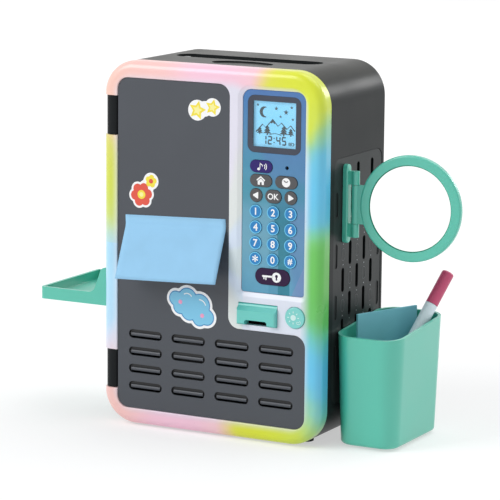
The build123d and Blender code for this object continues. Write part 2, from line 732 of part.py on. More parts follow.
def cover_outline(inset=0.0):
    """Outline of the electronics cover, drawn in by an inset."""
    width = COVER_RIGHT - COVER_LEFT - 2 * inset
    height = COVER_TOP - COVER_BOTTOM - 2 * inset
    place = Pos((COVER_LEFT + COVER_RIGHT) / 2, (COVER_TOP + COVER_BOTTOM) / 2)
    return place * RectangleRounded(width, height, COVER_RADIUS - min(inset, COVER_WALL))


def cells_outline(margin):
    """A rectangle round the row of battery cells."""
    width = (CELL_COUNT - 1) * CELL_PITCH + CELL_DIAMETER + 2 * margin
    height = CELL_LENGTH + 2 * margin
    return Pos((COVER_LEFT + COVER_RIGHT) / 2, CELL_BOTTOM + CELL_LENGTH / 2) * Rectangle(width, height)


def hatch_outline(inset=0.0):
    """The battery hatch in the back of the electronics cover."""
    hatch = cells_outline(HATCH_MARGIN - inset)
    return fillet(hatch.vertices(), HATCH_RADIUS)


def cell_y():
    return COVER_BACK - COVER_WALL - FIT_GAP - CELL_DIAMETER / 2


def electronics_cover():
    cover = front_slab(cover_outline(), COVER_FRONT, COVER_BACK)
    cover = fillet(cover.faces().sort_by(Axis.Y)[-1].edges(), COVER_WALL)
    cover -= front_slab(cover_outline(COVER_WALL), COVER_FRONT - 1, COVER_BACK - COVER_WALL)
    box = cells_outline(HATCH_MARGIN + BATTERY_BOX_WALL)
    box_floor = cell_y() - CELL_DIAMETER / 2 - FIT_GAP
    cover += front_slab(box, box_floor - BATTERY_BOX_WALL, COVER_BACK - COVER_WALL)
    cover -= front_slab(cells_outline(FIT_GAP), box_floor, COVER_BACK)
    cover -= front_slab(hatch_outline(), COVER_BACK - COVER_WALL, COVER_BACK + 1)
    guide = BOLT_HEIGHT + 2 * BOLT_GUIDE
    depth = BOLT_DEPTH + 2 * BOLT_GUIDE
    low = LOCK_Z - guide / 2
    cover -= block(COVER_RIGHT - 2 * COVER_WALL, COVER_RIGHT + 1, BOLT_Y - depth / 2, BOLT_Y + depth / 2,
                   low, low + guide)
    return cover


def battery_cover():
    return front_slab(hatch_outline(FIT_GAP), COVER_BACK - COVER_WALL, COVER_BACK)


def batteries():
    top = CELL_BOTTOM + CELL_LENGTH
    cells = []
    for number in range(CELL_COUNT):
        x = cell_x(number)
        can = upright(CELL_DIAMETER / 2, x, cell_y(), CELL_BOTTOM, top - CELL_NUB_HEIGHT)
        cells.append(can + upright(CELL_NUB_DIAMETER / 2, x, cell_y(), CELL_BOTTOM + 1, top))
    return Compound(children=cells)


def keypad_plate():
    plate = front_slab(plate_outline(FIT_GAP), PLATE_FACE, PLATE_BACK)
    plate -= front_slab(lens_outline(), PLATE_FACE - 1, PLATE_FACE + LENS_THICKNESS)
    plate -= front_slab(lens_outline(LENS_LEDGE), PLATE_FACE - 1, PLATE_BACK + 1)
    holes = [Pos(x, z) * pill(w + 2 * KEY_GAP, h + 2 * KEY_GAP) for _, x, z, w, h in key_table()]
    holes.append(Pos(SENSOR_X, PLATE_TOP - SENSOR_DROP) * Circle(SENSOR_DIAMETER / 2))
    plate -= front_slab(Sketch() + holes, PLATE_FACE - 1, PLATE_BACK + 1)
    for side in (-1, 1):
        for drop in POST_DROPS:
            x, z = PLATE_X + side * POST_OFFSET_X, PLATE_TOP - drop
            plate += facing(POST_DIAMETER / 2, x, z, PLATE_BACK, BOARD_FRONT)
    return plate


def lens_outline(inset=0.0):
    width = LENS_WIDTH - 2 * inset
    height = LENS_HEIGHT - 2 * inset
    return Pos(PLATE_X, LENS_CENTRE_Z) * RectangleRounded(width, height, LENS_RADIUS - inset)


def display_lens():
    return front_slab(lens_outline(FIT_GAP / 2), PLATE_FACE, PLATE_FACE + LENS_THICKNESS)


def display_module():
    front = PLATE_BACK + FIT_GAP / 2
    module = lens_outline(LENS_LEDGE - 1)
    return front_slab(module, front, front + DISPLAY_THICKNESS)


def key_cap(x, z, width, height):
    """A key with a lip behind the plate that keeps it in."""
    cap = front_slab(Pos(x, z) * pill(width, height), PLATE_FACE - KEY_PROUD, PLATE_BACK + FIT_GAP)
    lip = Pos(x, z) * pill(width + 2 * (KEY_GAP + KEY_LIP), height + 2 * (KEY_GAP + KEY_LIP))
    lip_front = PLATE_BACK + FIT_GAP
    return cap + front_slab(lip, lip_front, lip_front + KEY_LIP_THICKNESS)


def key_mat():
    """The rubber mat under the keys, a little larger than the field they fill."""
    keys = key_table()
    left = min(x - width / 2 for _, x, _, width, _ in keys) - 1
    right = max(x + width / 2 for _, x, _, width, _ in keys) + 1
    low = min(z - height / 2 for _, _, z, _, height in keys) - 1
    top = max(z + height / 2 for _, _, z, _, height in keys) + 1
    return block(left, right, BOARD_FRONT - KEY_MAT_THICKNESS, BOARD_FRONT, low, top)


def circuit_board():
    left = COVER_LEFT + BOARD_MARGIN
    right = COVER_RIGHT - BOARD_MARGIN
    low = PLATE_BOTTOM - BOARD_MARGIN
    return block(left, right, BOARD_FRONT, BOARD_BACK, low, COVER_TOP - COVER_WALL - BOARD_MARGIN)


def speaker():
    back = COVER_FRONT - FIT_GAP
    front = back - SPEAKER_DEPTH
    basket = facing(SPEAKER_DIAMETER / 2, SPEAKER_X, LOUVRE_CENTRE_Z, front, front + SPEAKER_FLANGE)
    magnet = facing(SPEAKER_MAGNET_DIAMETER / 2, SPEAKER_X, LOUVRE_CENTRE_Z, front, back)
    mouth = Pos(SPEAKER_X, LOUVRE_CENTRE_Z) * Circle(SPEAKER_DIAMETER / 2 - SPEAKER_RIM)
    cone = extrude(Plane.XZ.offset(-front) * mouth, -SPEAKER_CONE_DEPTH, taper=45)
    return basket + magnet - cone


# Door pull and light button

def pull_pin_bar(run=0.0):
    """The pull's pin, or its bore where a running gap is given."""
    radius = PULL_PIN_DIAMETER / 2 + run
    half = (PULL_RIGHT - PULL_LEFT) / 2 + PULL_PIN_SEAT + run
    return Pos(PULL_X, PULL_PIN_Y, PULL_PIN_Z) * Rot(0, 90, 0) * Cylinder(radius, 2 * half)


def pull_pin():
    return pull_pin_bar()


def door_pull():
    face = FRONT - PULL_PROUD
    back = PULL_PIN_Y + PULL_DEPTH - PULL_ROUND
    shoulder = PULL_PIN_Y - PULL_ROUND
    profile = make_face(Polyline(
        (back, PULL_BOTTOM), (face + PULL_LOWER_EDGE, PULL_BOTTOM), (face, PULL_BOTTOM + PULL_LOWER_EDGE),
        (face, PULL_PIN_Z - PULL_CHAMFER), (shoulder, PULL_PIN_Z), (back, PULL_PIN_Z), close=True))
    profile += Pos(PULL_PIN_Y, PULL_PIN_Z) * Circle(PULL_ROUND)
    pull = side_slab(profile, PULL_LEFT, PULL_RIGHT)
    ends = pull.faces().sort_by(Axis.Y)[0].edges().filter_by(Axis.Z)
    pull = fillet(ends, PULL_EDGE)
    notch = Pos(PULL_X, PULL_BOTTOM) * RectangleRounded(NOTCH_WIDTH, 2 * NOTCH_HEIGHT, NOTCH_HEIGHT / 2)
    pull -= front_slab(notch, face - 1, back + 1)
    return pull - pull_pin_bar(PULL_PIN_RUN)


def light_button():
    front = FRONT - BUTTON_PROUD
    lip_front = WALL_BACK + FIT_GAP
    cap = facing(BUTTON_DIAMETER / 2, BUTTON_X, BUTTON_Z, front, lip_front)
    cap = fillet(cap.faces().sort_by(Axis.Y)[0].edges(), BUTTON_EDGE)
    lip_radius = BUTTON_DIAMETER / 2 + BUTTON_LIP
    return cap + facing(lip_radius, BUTTON_X, BUTTON_Z, lip_front, lip_front + BUTTON_LIP_THICKNESS)


# Lock

def rack_root():
    return RACK_LINE + TOOTH_ROOT * LOCK_MODULE


def rack_tooth(x):
    """A straight-sided rack tooth that hangs below the bolt."""
    slope = tan(radians(PRESSURE_ANGLE))
    half = TOOTH_PITCH / 4
    root = rack_root()
    tip = RACK_LINE - TOOTH_TIP * LOCK_MODULE
    wide = half + (root - RACK_LINE) * slope
    narrow = half - (RACK_LINE - tip) * slope
    corners = [(x - wide, root), (x + wide, root), (x + narrow, tip), (x - narrow, tip)]
    return make_face(Polyline(*corners, close=True))


def lock_bolt():
    right = COVER_RIGHT - FIT_GAP
    left = right - BOLT_LENGTH
    rack_right = PINION_X + RACK_TEETH * TOOTH_PITCH / 2
    top = LOCK_Z + BOLT_HEIGHT / 2
    bar = Pos((left + right) / 2, (rack_root() + top) / 2) * Rectangle(right - left, top - rack_root())
    profile = bar + Pos((rack_right + right) / 2, LOCK_Z) * Rectangle(right - rack_right, BOLT_HEIGHT)
    for number in range(RACK_TEETH):
        profile += rack_tooth(PINION_X + (number - (RACK_TEETH + 1) / 2) * TOOTH_PITCH)
    return front_slab(profile, BOLT_Y - BOLT_DEPTH / 2, BOLT_Y + BOLT_DEPTH / 2)


def involute_flank():
    """Points along one flank of a pinion tooth, from the base circle out to the tip."""
    pressure = radians(PRESSURE_ANGLE)
    base = PITCH_RADIUS * cos(pressure)
    tip = PITCH_RADIUS + TOOTH_TIP * LOCK_MODULE
    half_tooth = (TOOTH_PITCH - BACKLASH) / (4 * PITCH_RADIUS)
    at_base = half_tooth + tan(pressure) - pressure
    steps = 4
    points = []
    for step in range(steps + 1):
        radius = base + (tip - base) * step / steps
        roll = sqrt((radius / base) ** 2 - 1) if step else 0.0
        angle = at_base - (roll - atan(roll))
        points.append((radius * cos(angle), radius * sin(angle)))
    return points


def pinion_tooth(inner_radius):
    """A tooth along +X; below the base circle its flanks run straight to the hub."""
    upper = involute_flank()
    foot = atan(upper[0][1] / upper[0][0])
    upper.insert(0, (inner_radius * cos(foot), inner_radius * sin(foot)))
    lower = [(x, -y) for x, y in reversed(upper)]
    return make_face(Polyline(*upper, *lower, close=True))


def lock_pinion():
    root = PITCH_RADIUS - TOOTH_ROOT * LOCK_MODULE
    tooth = pinion_tooth(root - LOCK_MODULE / 2)
    wheel = Circle(root)
    for number in range(PINION_TEETH):
        wheel += Rot(0, 0, 90 + 360 / PINION_TEETH * number) * tooth
    front = BOLT_Y - PINION_WIDTH / 2
    gear = front_slab(Pos(PINION_X, PINION_Z) * wheel, front, front + PINION_WIDTH)
    return gear + facing(SHAFT_DIAMETER / 2, PINION_X, PINION_Z, MOTOR_BACK - SHAFT_SEAT, front + 1)


def lock_motor():
    front = MOTOR_BACK - MOTOR_LENGTH
    can = facing(MOTOR_DIAMETER / 2, PINION_X, PINION_Z, front, MOTOR_BACK - MOTOR_NOSE)
    nose = facing(MOTOR_NOSE_DIAMETER / 2, PINION_X, PINION_Z, front, MOTOR_BACK)
    depth = SHAFT_SEAT + FIT_GAP
    bore = facing(SHAFT_DIAMETER / 2 + SHAFT_RUN, PINION_X, PINION_Z, MOTOR_BACK - depth, MOTOR_BACK + 1)
    return can + nose - bore


# Pieces that hang on the side panels

def peg(side, y, z, x_start):
    """A straight peg that fills a slot of the side panel."""
    x_end = SIDE + HANG_GAP - PEG_REACH
    outline = Pos(y, z) * pill(PEG_WIDTH, PEG_HEIGHT)
    bar = side_slab(outline, x_end, x_start)
    return bar if side > 0 else mirror(bar, Plane.YZ)


def slot_column(number):
    """Y of a slot column, counted from the middle one."""
    return SIDE_PANEL_CENTRE_Y + number * SLOT_PITCH_Y


def slot_row(number):
    """Z of a slot row, counted down from the top one."""
    return SLOT_TOP_Z - number * SLOT_STEP_Z


def mirror_bracket():
    face = SIDE + HANG_GAP
    outline = Pos(MIRROR_Y, BRACKET_Z) * pill(BRACKET_WIDTH, BRACKET_LENGTH)
    bar = side_slab(outline, face, face + BRACKET_THICKNESS)
    bar = fillet(bar.faces().sort_by(Axis.X)[-1].edges(), BRACKET_EDGE)
    radius = MIRROR_KNUCKLE_DIAMETER / 2
    inner = MIRROR_BARREL_LENGTH / 2 + FIT_GAP
    outer = inner + MIRROR_KNUCKLE_LENGTH
    for side in (-1, 1):
        low, high = sorted((BRACKET_Z + side * inner, BRACKET_Z + side * outer))
        bar += upright(radius, MIRROR_PIN_X, MIRROR_Y, low, high)
        web_front = MIRROR_Y - BRACKET_WEB / 2
        bar += block(face + 1, MIRROR_PIN_X, web_front, web_front + BRACKET_WEB, low, high)
        bar += peg(1, MIRROR_Y, BRACKET_Z + side * SLOT_STEP_Z, face + 1)
    reach = outer + 1
    bore = MIRROR_PIN_DIAMETER / 2 + MIRROR_PIN_RUN
    return bar - upright(bore, MIRROR_PIN_X, MIRROR_Y, BRACKET_Z - reach, BRACKET_Z + reach)


def mirror_pin():
    half = MIRROR_BARREL_LENGTH / 2 + FIT_GAP + MIRROR_KNUCKLE_LENGTH - 1
    return upright(MIRROR_PIN_DIAMETER / 2, MIRROR_PIN_X, MIRROR_Y, BRACKET_Z - half, BRACKET_Z + half)


def at_mirror(shape):
    """Places a shape drawn round the mirror's pin, turned to its place."""
    return Pos(MIRROR_PIN_X, MIRROR_Y, BRACKET_Z) * Rot(0, 0, MIRROR_TURN) * shape


def mirror_frame():
    half = MIRROR_THICKNESS / 2
    disc = front_slab(Circle(MIRROR_RING_RADIUS), -half, half)
    rims = disc.faces().filter_by(Axis.Y)
    disc = fillet([edge for face in rims for edge in face.edges()], MIRROR_EDGE)
    bed = half - MIRROR_GLASS_RECESS - MIRROR_GLASS_THICKNESS
    disc -= front_slab(Circle(MIRROR_GLASS_RADIUS), -half - 1, -bed)
    disc = Pos(MIRROR_REACH, 0, 0) * disc
    length = MIRROR_BARREL_LENGTH
    web_end = MIRROR_REACH - (MIRROR_RING_RADIUS + MIRROR_GLASS_RADIUS) / 2
    web_half = half - MIRROR_WEB_INSET
    web = block(0, web_end, -web_half, web_half, -length / 2, length / 2)
    barrel = upright(MIRROR_KNUCKLE_DIAMETER / 2, 0, 0, -length / 2, length / 2)
    bore = upright(MIRROR_PIN_DIAMETER / 2 + MIRROR_PIN_RUN, 0, 0, -length, length)
    return at_mirror(disc + web + barrel - bore)


def mirror_glass():
    front = MIRROR_GLASS_RECESS - MIRROR_THICKNESS / 2
    radius = MIRROR_GLASS_RADIUS - FIT_GAP / 2
    disc = front_slab(Circle(radius), front, front + MIRROR_GLASS_THICKNESS)
    return at_mirror(Pos(MIRROR_REACH, 0, 0) * disc)


def cup_form(inset, z_bottom, z_top):
    """The cup's rounded plan, drawn in by an inset, between two heights; it widens upwards by its draft."""
    slope = CUP_DRAFT / CUP_REAR_HEIGHT
    drawn_in = inset + CUP_DRAFT - slope * (z_bottom - CUP_BOTTOM)
    width = CUP_REACH - 2 * drawn_in
    depth = CUP_DEPTH - 2 * drawn_in
    rounded = RectangleRounded(width, depth, CUP_RADIUS - drawn_in)
    plan = Pos(SIDE + HANG_GAP + CUP_REACH / 2, CUP_CENTRE_Y) * rounded
    return extrude(Plane.XY.offset(z_bottom) * plan, z_top - z_bottom, taper=-degrees(atan(slope)))


def cup():
    top = CUP_BOTTOM + CUP_REAR_HEIGHT
    form = cup_form(0, CUP_BOTTOM, top)
    form = fillet(form.faces().sort_by(Axis.Z)[0].edges(), CUP_BASE_RADIUS)
    form -= cup_form(CUP_WALL, CUP_BOTTOM + CUP_WALL, top + 1)
    front = CUP_CENTRE_Y - CUP_DEPTH / 2
    back = front + CUP_DEPTH
    low = CUP_BOTTOM + CUP_FRONT_HEIGHT
    above = top + 2
    rim = [(front - 1, low), (back + 1, top), (back + 1, above), (front - 1, above)]
    form -= side_slab(make_face(Polyline(*rim, close=True)), SIDE, SIDE + CUP_REACH + 2)
    for column in (-1, 1):
        form += peg(1, slot_column(column), slot_row(7), SIDE + HANG_GAP + CUP_WALL)
    return form


def tray_profile():
    """Front view of the tray: a low lip that sweeps up to a high end at the housing."""
    near = -SIDE - HANG_GAP
    far = near - TRAY_REACH
    low = TRAY_BOTTOM + TRAY_LIP_HEIGHT
    high = TRAY_BOTTOM + TRAY_BACK_HEIGHT
    foot = (near - TRAY_RISE_FOOT, low)
    crest = (near - TRAY_RISE_CREST, high)
    outline = make_face(Polyline(
        (near, TRAY_BOTTOM), (far, TRAY_BOTTOM), (far, low), foot, crest, (near, high), close=True))
    outline = fillet(outline.vertices().sort_by_distance(foot)[0], TRAY_SWEEP_RADIUS)
    return fillet(outline.vertices().sort_by_distance(crest)[0], TRAY_CREST_RADIUS)


def tray():
    front = TRAY_CENTRE_Y - TRAY_DEPTH / 2
    back = front + TRAY_DEPTH
    near = -SIDE - HANG_GAP
    far = near - TRAY_REACH
    form = front_slab(tray_profile(), front, back)
    corners = form.edges().filter_by(Axis.Z).group_by(Axis.X)[0]
    form = fillet(corners, TRAY_RADIUS)
    form -= block(far + TRAY_WALL, near - TRAY_WALL, front + TRAY_WALL, back - TRAY_WALL,
                  TRAY_BOTTOM + TRAY_WALL, HEIGHT)
    for column in (-1, 1):
        form += peg(-1, slot_column(column), slot_row(5), SIDE + HANG_GAP + TRAY_WALL / 2)
    return form


# Things kept in the cup and on the door

def note_pad():
    bottom = CUP_BOTTOM + CUP_WALL + PAD_FLOOR_GAP
    sheet = Rot(0, 0, PAD_ANGLE) * Rectangle(PAD_WIDTH, PAD_THICKNESS)
    return top_slab(Pos(PAD_X, PAD_Y) * sheet, bottom, bottom + PAD_HEIGHT)


def marker_axis():
    """The frame of the leaning marker, which stands on the floor of the cup; local Z runs up the barrel."""
    upward = Vector(MARKER_LEAN[0], MARKER_LEAN[1], 1).normalized()
    flat = MARKER_DIAMETER / 2 - MARKER_EDGE
    below = flat * sqrt(1 - upward.Z ** 2) + MARKER_EDGE * (1 - upward.Z)
    foot = Vector(MARKER_FOOT_X, MARKER_FOOT_Y, CUP_BOTTOM + CUP_WALL + FIT_GAP + below)
    return Plane(origin=foot, x_dir=(1, 0, -MARKER_LEAN[0]), z_dir=upward)


def rod(radius, low, high):
    """A cylinder along the local Z axis."""
    return upright(radius, 0, 0, low, high)


def marker_barrel():
    radius = MARKER_DIAMETER / 2
    length = MARKER_LENGTH - MARKER_CAP_LENGTH
    seat = length + MARKER_CAP_SEAT
    barrel = rod(radius, 0, length)
    barrel = fillet(barrel.faces().sort_by(Axis.Z)[0].edges(), MARKER_EDGE)
    barrel += rod(radius - MARKER_CAP_WALL - FIT_GAP, length - 1, seat)
    nib = Pos(0, 0, seat + NIB_LENGTH / 2) * Cone(NIB_DIAMETER / 2, NIB_TIP_DIAMETER / 2, NIB_LENGTH)
    return marker_axis() * (barrel + nib)


def marker_cap():
    radius = MARKER_DIAMETER / 2
    start = MARKER_LENGTH - MARKER_CAP_LENGTH + FIT_GAP
    cap = rod(radius, start, MARKER_LENGTH)
    cap = fillet(cap.faces().sort_by(Axis.Z)[-1].edges(), MARKER_EDGE)
    cap -= rod(radius - MARKER_CAP_WALL, start - 1, MARKER_LENGTH - 2 * MARKER_CAP_WALL - MARKER_EDGE)
    return marker_axis() * cap


def sticky_note():
    """A sheet stuck along its top strip; below it curls away from the door."""
    radius = (NOTE_DROP ** 2 + NOTE_LIFT ** 2) / (2 * NOTE_LIFT)
    turn = degrees(asin(NOTE_DROP / radius))
    middle = PANEL_FACE - NOTE_THICKNESS / 2
    strip = Line((middle, 0), (middle, -NOTE_STRIP))
    curl = CenterArc((middle - radius, -NOTE_STRIP), radius, 0, -turn)
    sheet = trace([strip, curl], NOTE_THICKNESS)
    solid = side_slab(sheet, -NOTE_WIDTH / 2, NOTE_WIDTH / 2)
    return Pos(NOTE_LEFT + NOTE_WIDTH / 2, 0, HEIGHT - NOTE_TOP_DROP) * Rot(0, -NOTE_TILT, 0) * solid


def all_pieces():
    """Every node's name and the function that makes it."""
    pieces = {
        "housing_shell": housing_shell, "back_panel": back_panel, "feet": feet,
        "side_panel_left": lambda: side_panel(-1), "side_panel_right": lambda: side_panel(1),
        "hinge_pins": hinge_pins, "strike": strike,
        "handle_well": handle_well, "carry_handle": carry_handle, "handle_stud": handle_stud,
        "door_frame": door_frame, "door_panel": door_panel, "door_back": door_back,
        "electronics_cover": electronics_cover, "battery_cover": battery_cover, "batteries": batteries,
        "keypad_plate": keypad_plate, "display_lens": display_lens, "display_module": display_module,
        "key_mat": key_mat, "circuit_board": circuit_board, "speaker": speaker,
        "door_pull": door_pull, "pull_pin": pull_pin, "light_button": light_button,
        "lock_motor": lock_motor, "lock_pinion": lock_pinion, "lock_bolt": lock_bolt,
        "mirror_bracket": mirror_bracket, "mirror_pin": mirror_pin,
        "mirror_frame": mirror_frame, "mirror_glass": mirror_glass,
        "cup": cup, "tray": tray, "note_pad": note_pad,
        "marker_barrel": marker_barrel, "marker_cap": marker_cap, "sticky_note": sticky_note,
    }
    for name, x, z, width, height in key_table():
        pieces[name] = lambda x=x, z=z, width=width, height=height: key_cap(x, z, width, height)
    return pieces


os.makedirs("parts", exist_ok=True)
for node, make in all_pieces().items():
    export_step(make(), "parts/" + node + ".step")
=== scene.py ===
import bpy
import json
from math import cos, hypot, pi, radians, sin
from mathutils import Matrix, Vector


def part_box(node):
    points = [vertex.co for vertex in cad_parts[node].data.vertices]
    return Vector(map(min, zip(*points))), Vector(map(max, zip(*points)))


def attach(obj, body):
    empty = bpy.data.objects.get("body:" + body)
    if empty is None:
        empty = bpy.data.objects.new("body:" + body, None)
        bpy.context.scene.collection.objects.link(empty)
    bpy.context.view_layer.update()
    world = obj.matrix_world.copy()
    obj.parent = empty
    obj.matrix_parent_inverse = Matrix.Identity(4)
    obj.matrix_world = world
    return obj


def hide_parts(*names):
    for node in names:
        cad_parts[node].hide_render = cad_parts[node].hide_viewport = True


# A toy electronic locker: materials, printed signs, small fittings, stage, lights and camera.
# Sizes and places are in millimetres in the object's own frame, and become metres where a mesh is made.

MM = 0.001
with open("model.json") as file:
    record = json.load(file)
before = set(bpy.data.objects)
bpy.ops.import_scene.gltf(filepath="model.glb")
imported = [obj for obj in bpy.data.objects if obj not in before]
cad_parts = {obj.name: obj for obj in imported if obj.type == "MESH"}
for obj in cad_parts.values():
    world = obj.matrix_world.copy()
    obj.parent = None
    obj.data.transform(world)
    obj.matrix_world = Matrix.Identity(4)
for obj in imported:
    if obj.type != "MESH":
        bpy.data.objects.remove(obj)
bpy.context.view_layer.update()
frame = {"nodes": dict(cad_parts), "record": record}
nodes = frame["nodes"]


# Front outline of the housing and door

BODY_WIDTH = 192.0
BODY_HEIGHT = 288.5
BODY_MIDDLE_Z = 145.75
BODY_RADIUS = 27.0
HINGE_BLOCK_Y = -41.5
LOCKER_BACK = 53.0


# Colours

def linear(value):
    value /= 255
    return value / 12.92 if value <= 0.04045 else ((value + 0.055) / 1.055) ** 2.4


def rgb(red, green, blue):
    """A colour as seen on a screen, 0 to 255, as a linear colour with alpha."""
    return (linear(red), linear(green), linear(blue), 1.0)


WHITE = rgb(250, 250, 250)
INK = rgb(18, 20, 24)
TEAL = rgb(74, 192, 169)
PALE_TEAL = rgb(212, 240, 236)
HOLLOW_SHADE_COLOUR = rgb(14, 15, 17)


# Materials

class Tree:
    """Short names for building a node tree; an input is fed with a fixed value or another node's output."""

    def __init__(self, tree):
        self.tree = tree

    def add(self, kind, inputs=None, **settings):
        node = self.tree.nodes.new("ShaderNode" + kind)
        for key, value in settings.items():
            setattr(node, key, value)
        for key, value in (inputs or {}).items():
            self.feed(node.inputs[key], value)
        return node

    def feed(self, socket, value):
        if isinstance(value, bpy.types.NodeSocket):
            self.tree.links.new(value, socket)
        else:
            socket.default_value = value

    def math(self, operation, first, second=0.0):
        return self.add("Math", {0: first, 1: second}, operation=operation).outputs[0]

    def product(self, *factors):
        result = factors[0]
        for factor in factors[1:]:
            result = self.math("MULTIPLY", result, factor)
        return result

    def seen(self):
        """1 for rays from the camera, straight on or by way of gloss or glass, and 0 for other rays."""
        rays = self.add("LightPath").outputs
        direct = self.math("MAXIMUM", rays["Is Camera Ray"], rays["Is Glossy Ray"])
        return self.math("MAXIMUM", direct, rays["Is Transmission Ray"])


class Nodes(Tree):
    """The node tree of one material, round its main shader."""

    def __init__(self, name):
        self.material = bpy.data.materials.new(name)
        self.material.use_nodes = True
        super().__init__(self.material.node_tree)
        self.shader = self.tree.nodes["Principled BSDF"]

    def span(self, value, low, high, to_low=0.0, to_high=1.0, smooth=False):
        """Maps a value from one range onto another, held at its ends."""
        kind = "SMOOTHSTEP" if smooth else "LINEAR"
        inputs = {0: value, 1: low, 2: high, 3: to_low, 4: to_high}
        return self.add("MapRange", inputs, interpolation_type=kind).outputs[0]

    def mix(self, factor, first, second, blend="MIX"):
        node = self.add("Mix", data_type="RGBA", blend_type=blend)
        self.feed(node.inputs[0], factor)
        self.feed(node.inputs[6], first)
        self.feed(node.inputs[7], second)
        return node.outputs[2]

    def place(self):
        """The point on the object, in metres of the object's frame, and its three parts."""
        coordinates = self.add("TexCoord").outputs["Object"]
        parts = self.add("SeparateXYZ", {0: coordinates}).outputs
        return coordinates, parts[0], parts[1], parts[2]

    def inwards(self, x, z):
        """How far a point lies inside the rounded front outline of the body, in metres."""
        corner = BODY_RADIUS * MM
        up = self.math("SUBTRACT", z, BODY_MIDDLE_Z * MM)
        over_x = self.math("SUBTRACT", self.math("ABSOLUTE", x), BODY_WIDTH / 2 * MM - corner)
        over_z = self.math("SUBTRACT", self.math("ABSOLUTE", up), BODY_HEIGHT / 2 * MM - corner)
        out_x, out_z = self.math("MAXIMUM", over_x, 0.0), self.math("MAXIMUM", over_z, 0.0)
        squares = self.math("ADD", self.product(out_x, out_x), self.product(out_z, out_z))
        straight = self.math("MINIMUM", self.math("MAXIMUM", over_x, over_z), 0.0)
        return self.math("SUBTRACT", corner, self.math("ADD", self.math("SQRT", squares), straight))

    def noise(self, vector, scale, detail=2.0, roughness=0.5):
        inputs = {"Vector": vector, "Scale": scale, "Detail": detail, "Roughness": roughness}
        return self.add("TexNoise", inputs).outputs["Fac"]

    def ramp(self, factor, stops, interpolation="LINEAR"):
        node = self.add("ValToRGB", {0: factor})
        node.color_ramp.interpolation = interpolation
        elements = node.color_ramp.elements
        elements[0].position, elements[0].color = stops[0]
        elements[1].position, elements[1].color = stops[-1]
        for position, colour in stops[1:-1]:
            elements.new(position).color = colour
        return node.outputs[0]

    def moulded(self, coordinates, grain, strength, rough, uneven=0.05):
        """A fine moulded grain, with a slow change of gloss."""
        texture = self.noise(coordinates, 1 / (grain * MM), 3.0)
        bump = self.add("Bump", {"Strength": strength, "Distance": 0.05 * MM, "Height": texture})
        self.feed(self.shader.inputs["Normal"], bump.outputs[0])
        slow = self.noise(coordinates, 22.0, 4.0)
        self.feed(self.shader.inputs["Roughness"], self.span(slow, 0.3, 0.7, rough - uneven, rough + uneven))
        return slow

    def along(self, vector, direction):
        """The part of a vector along a fixed direction."""
        return self.add("VectorMath", {0: vector, 1: direction}, operation="DOT_PRODUCT").outputs["Value"]

    def away(self, coordinates, point):
        """Distance from a fixed point."""
        return self.add("VectorMath", {0: coordinates, 1: point}, operation="DISTANCE").outputs["Value"]

    def paint(self, colour, tone):
        """Base colour, made darker or paler by a tone near 1."""
        shade = self.add("CombineColor", {0: tone, 1: tone, 2: tone}).outputs[0]
        painted = self.mix(1.0, colour, shade, "MULTIPLY")
        self.feed(self.shader.inputs["Base Color"], painted)
        return painted

    def fix(self, **values):
        """Sets shader values that are the same all over the surface; underscores stand for spaces."""
        for key, value in values.items():
            self.shader.inputs[key.replace("_", " ")].default_value = value


def plastic(name, colour, rough=0.4, grain=0.6, strength=0.25, vary=0.05,
            specular=0.5, glow=0.0, coat=0.0, hollow_shade=None, metallic=0.0):
    """Moulded plastic: a fine grain and a slow change of tone and gloss.

    The hollow argument asks for painted shade: an axis number and two coordinates in mm; as the coordinate,
    without its sign, goes from the first to the second, the colour falls to a deep painted shade, the shadow
    inside a recess.
    """
    n = Nodes(name)
    coordinates, x, y, z = n.place()
    slow = n.moulded(coordinates, grain, strength, rough)
    # painted shade: the colour darkens into the recess, standing in for its shadow
    if hollow_shade:
        axis, shallow, deep = hollow_shade
        depth = n.math("ABSOLUTE", (x, y, z)[axis])
        colour = n.mix(n.span(depth, shallow * MM, deep * MM, smooth=True), colour, HOLLOW_SHADE_COLOUR)
    n.paint(colour, n.span(slow, 0.25, 0.75, 1 - vary, 1 + vary))
    n.fix(Specular_IOR_Level=specular, Coat_Weight=coat, Coat_Roughness=0.35, Metallic=metallic)
    n.fix(Subsurface_Weight=glow, Subsurface_Radius=(0.6, 1.0, 0.8), Subsurface_Scale=1.5 * MM)
    return n.material


LINES_ACROSS = 2400.0
LINES_ALONG = 60.0


def metal(name, colour, rough=0.3, along=2):
    """Drawn or turned metal: fine lines along one axis, by its number."""
    n = Nodes(name)
    coordinates = n.place()[0]
    scale = [LINES_ACROSS] * 3
    scale[along] = LINES_ALONG
    stretched = n.add("Mapping", {"Vector": coordinates, "Scale": scale}).outputs[0]
    lines = n.noise(stretched, 1.0, 4.0)
    bump = n.add("Bump", {"Strength": 0.2, "Distance": 0.02 * MM, "Height": lines})
    n.feed(n.shader.inputs["Normal"], bump.outputs[0])
    n.feed(n.shader.inputs["Roughness"], n.span(lines, 0.2, 0.8, rough - 0.08, rough + 0.08))
    n.feed(n.shader.inputs["Base Color"], n.mix(n.span(lines, 0.2, 0.8, 0.0, 0.25), colour, INK))
    n.fix(Metallic=1.0)
    return n.material


PAD_TURN = radians(67.0)
PAD_SHEET = 0.25


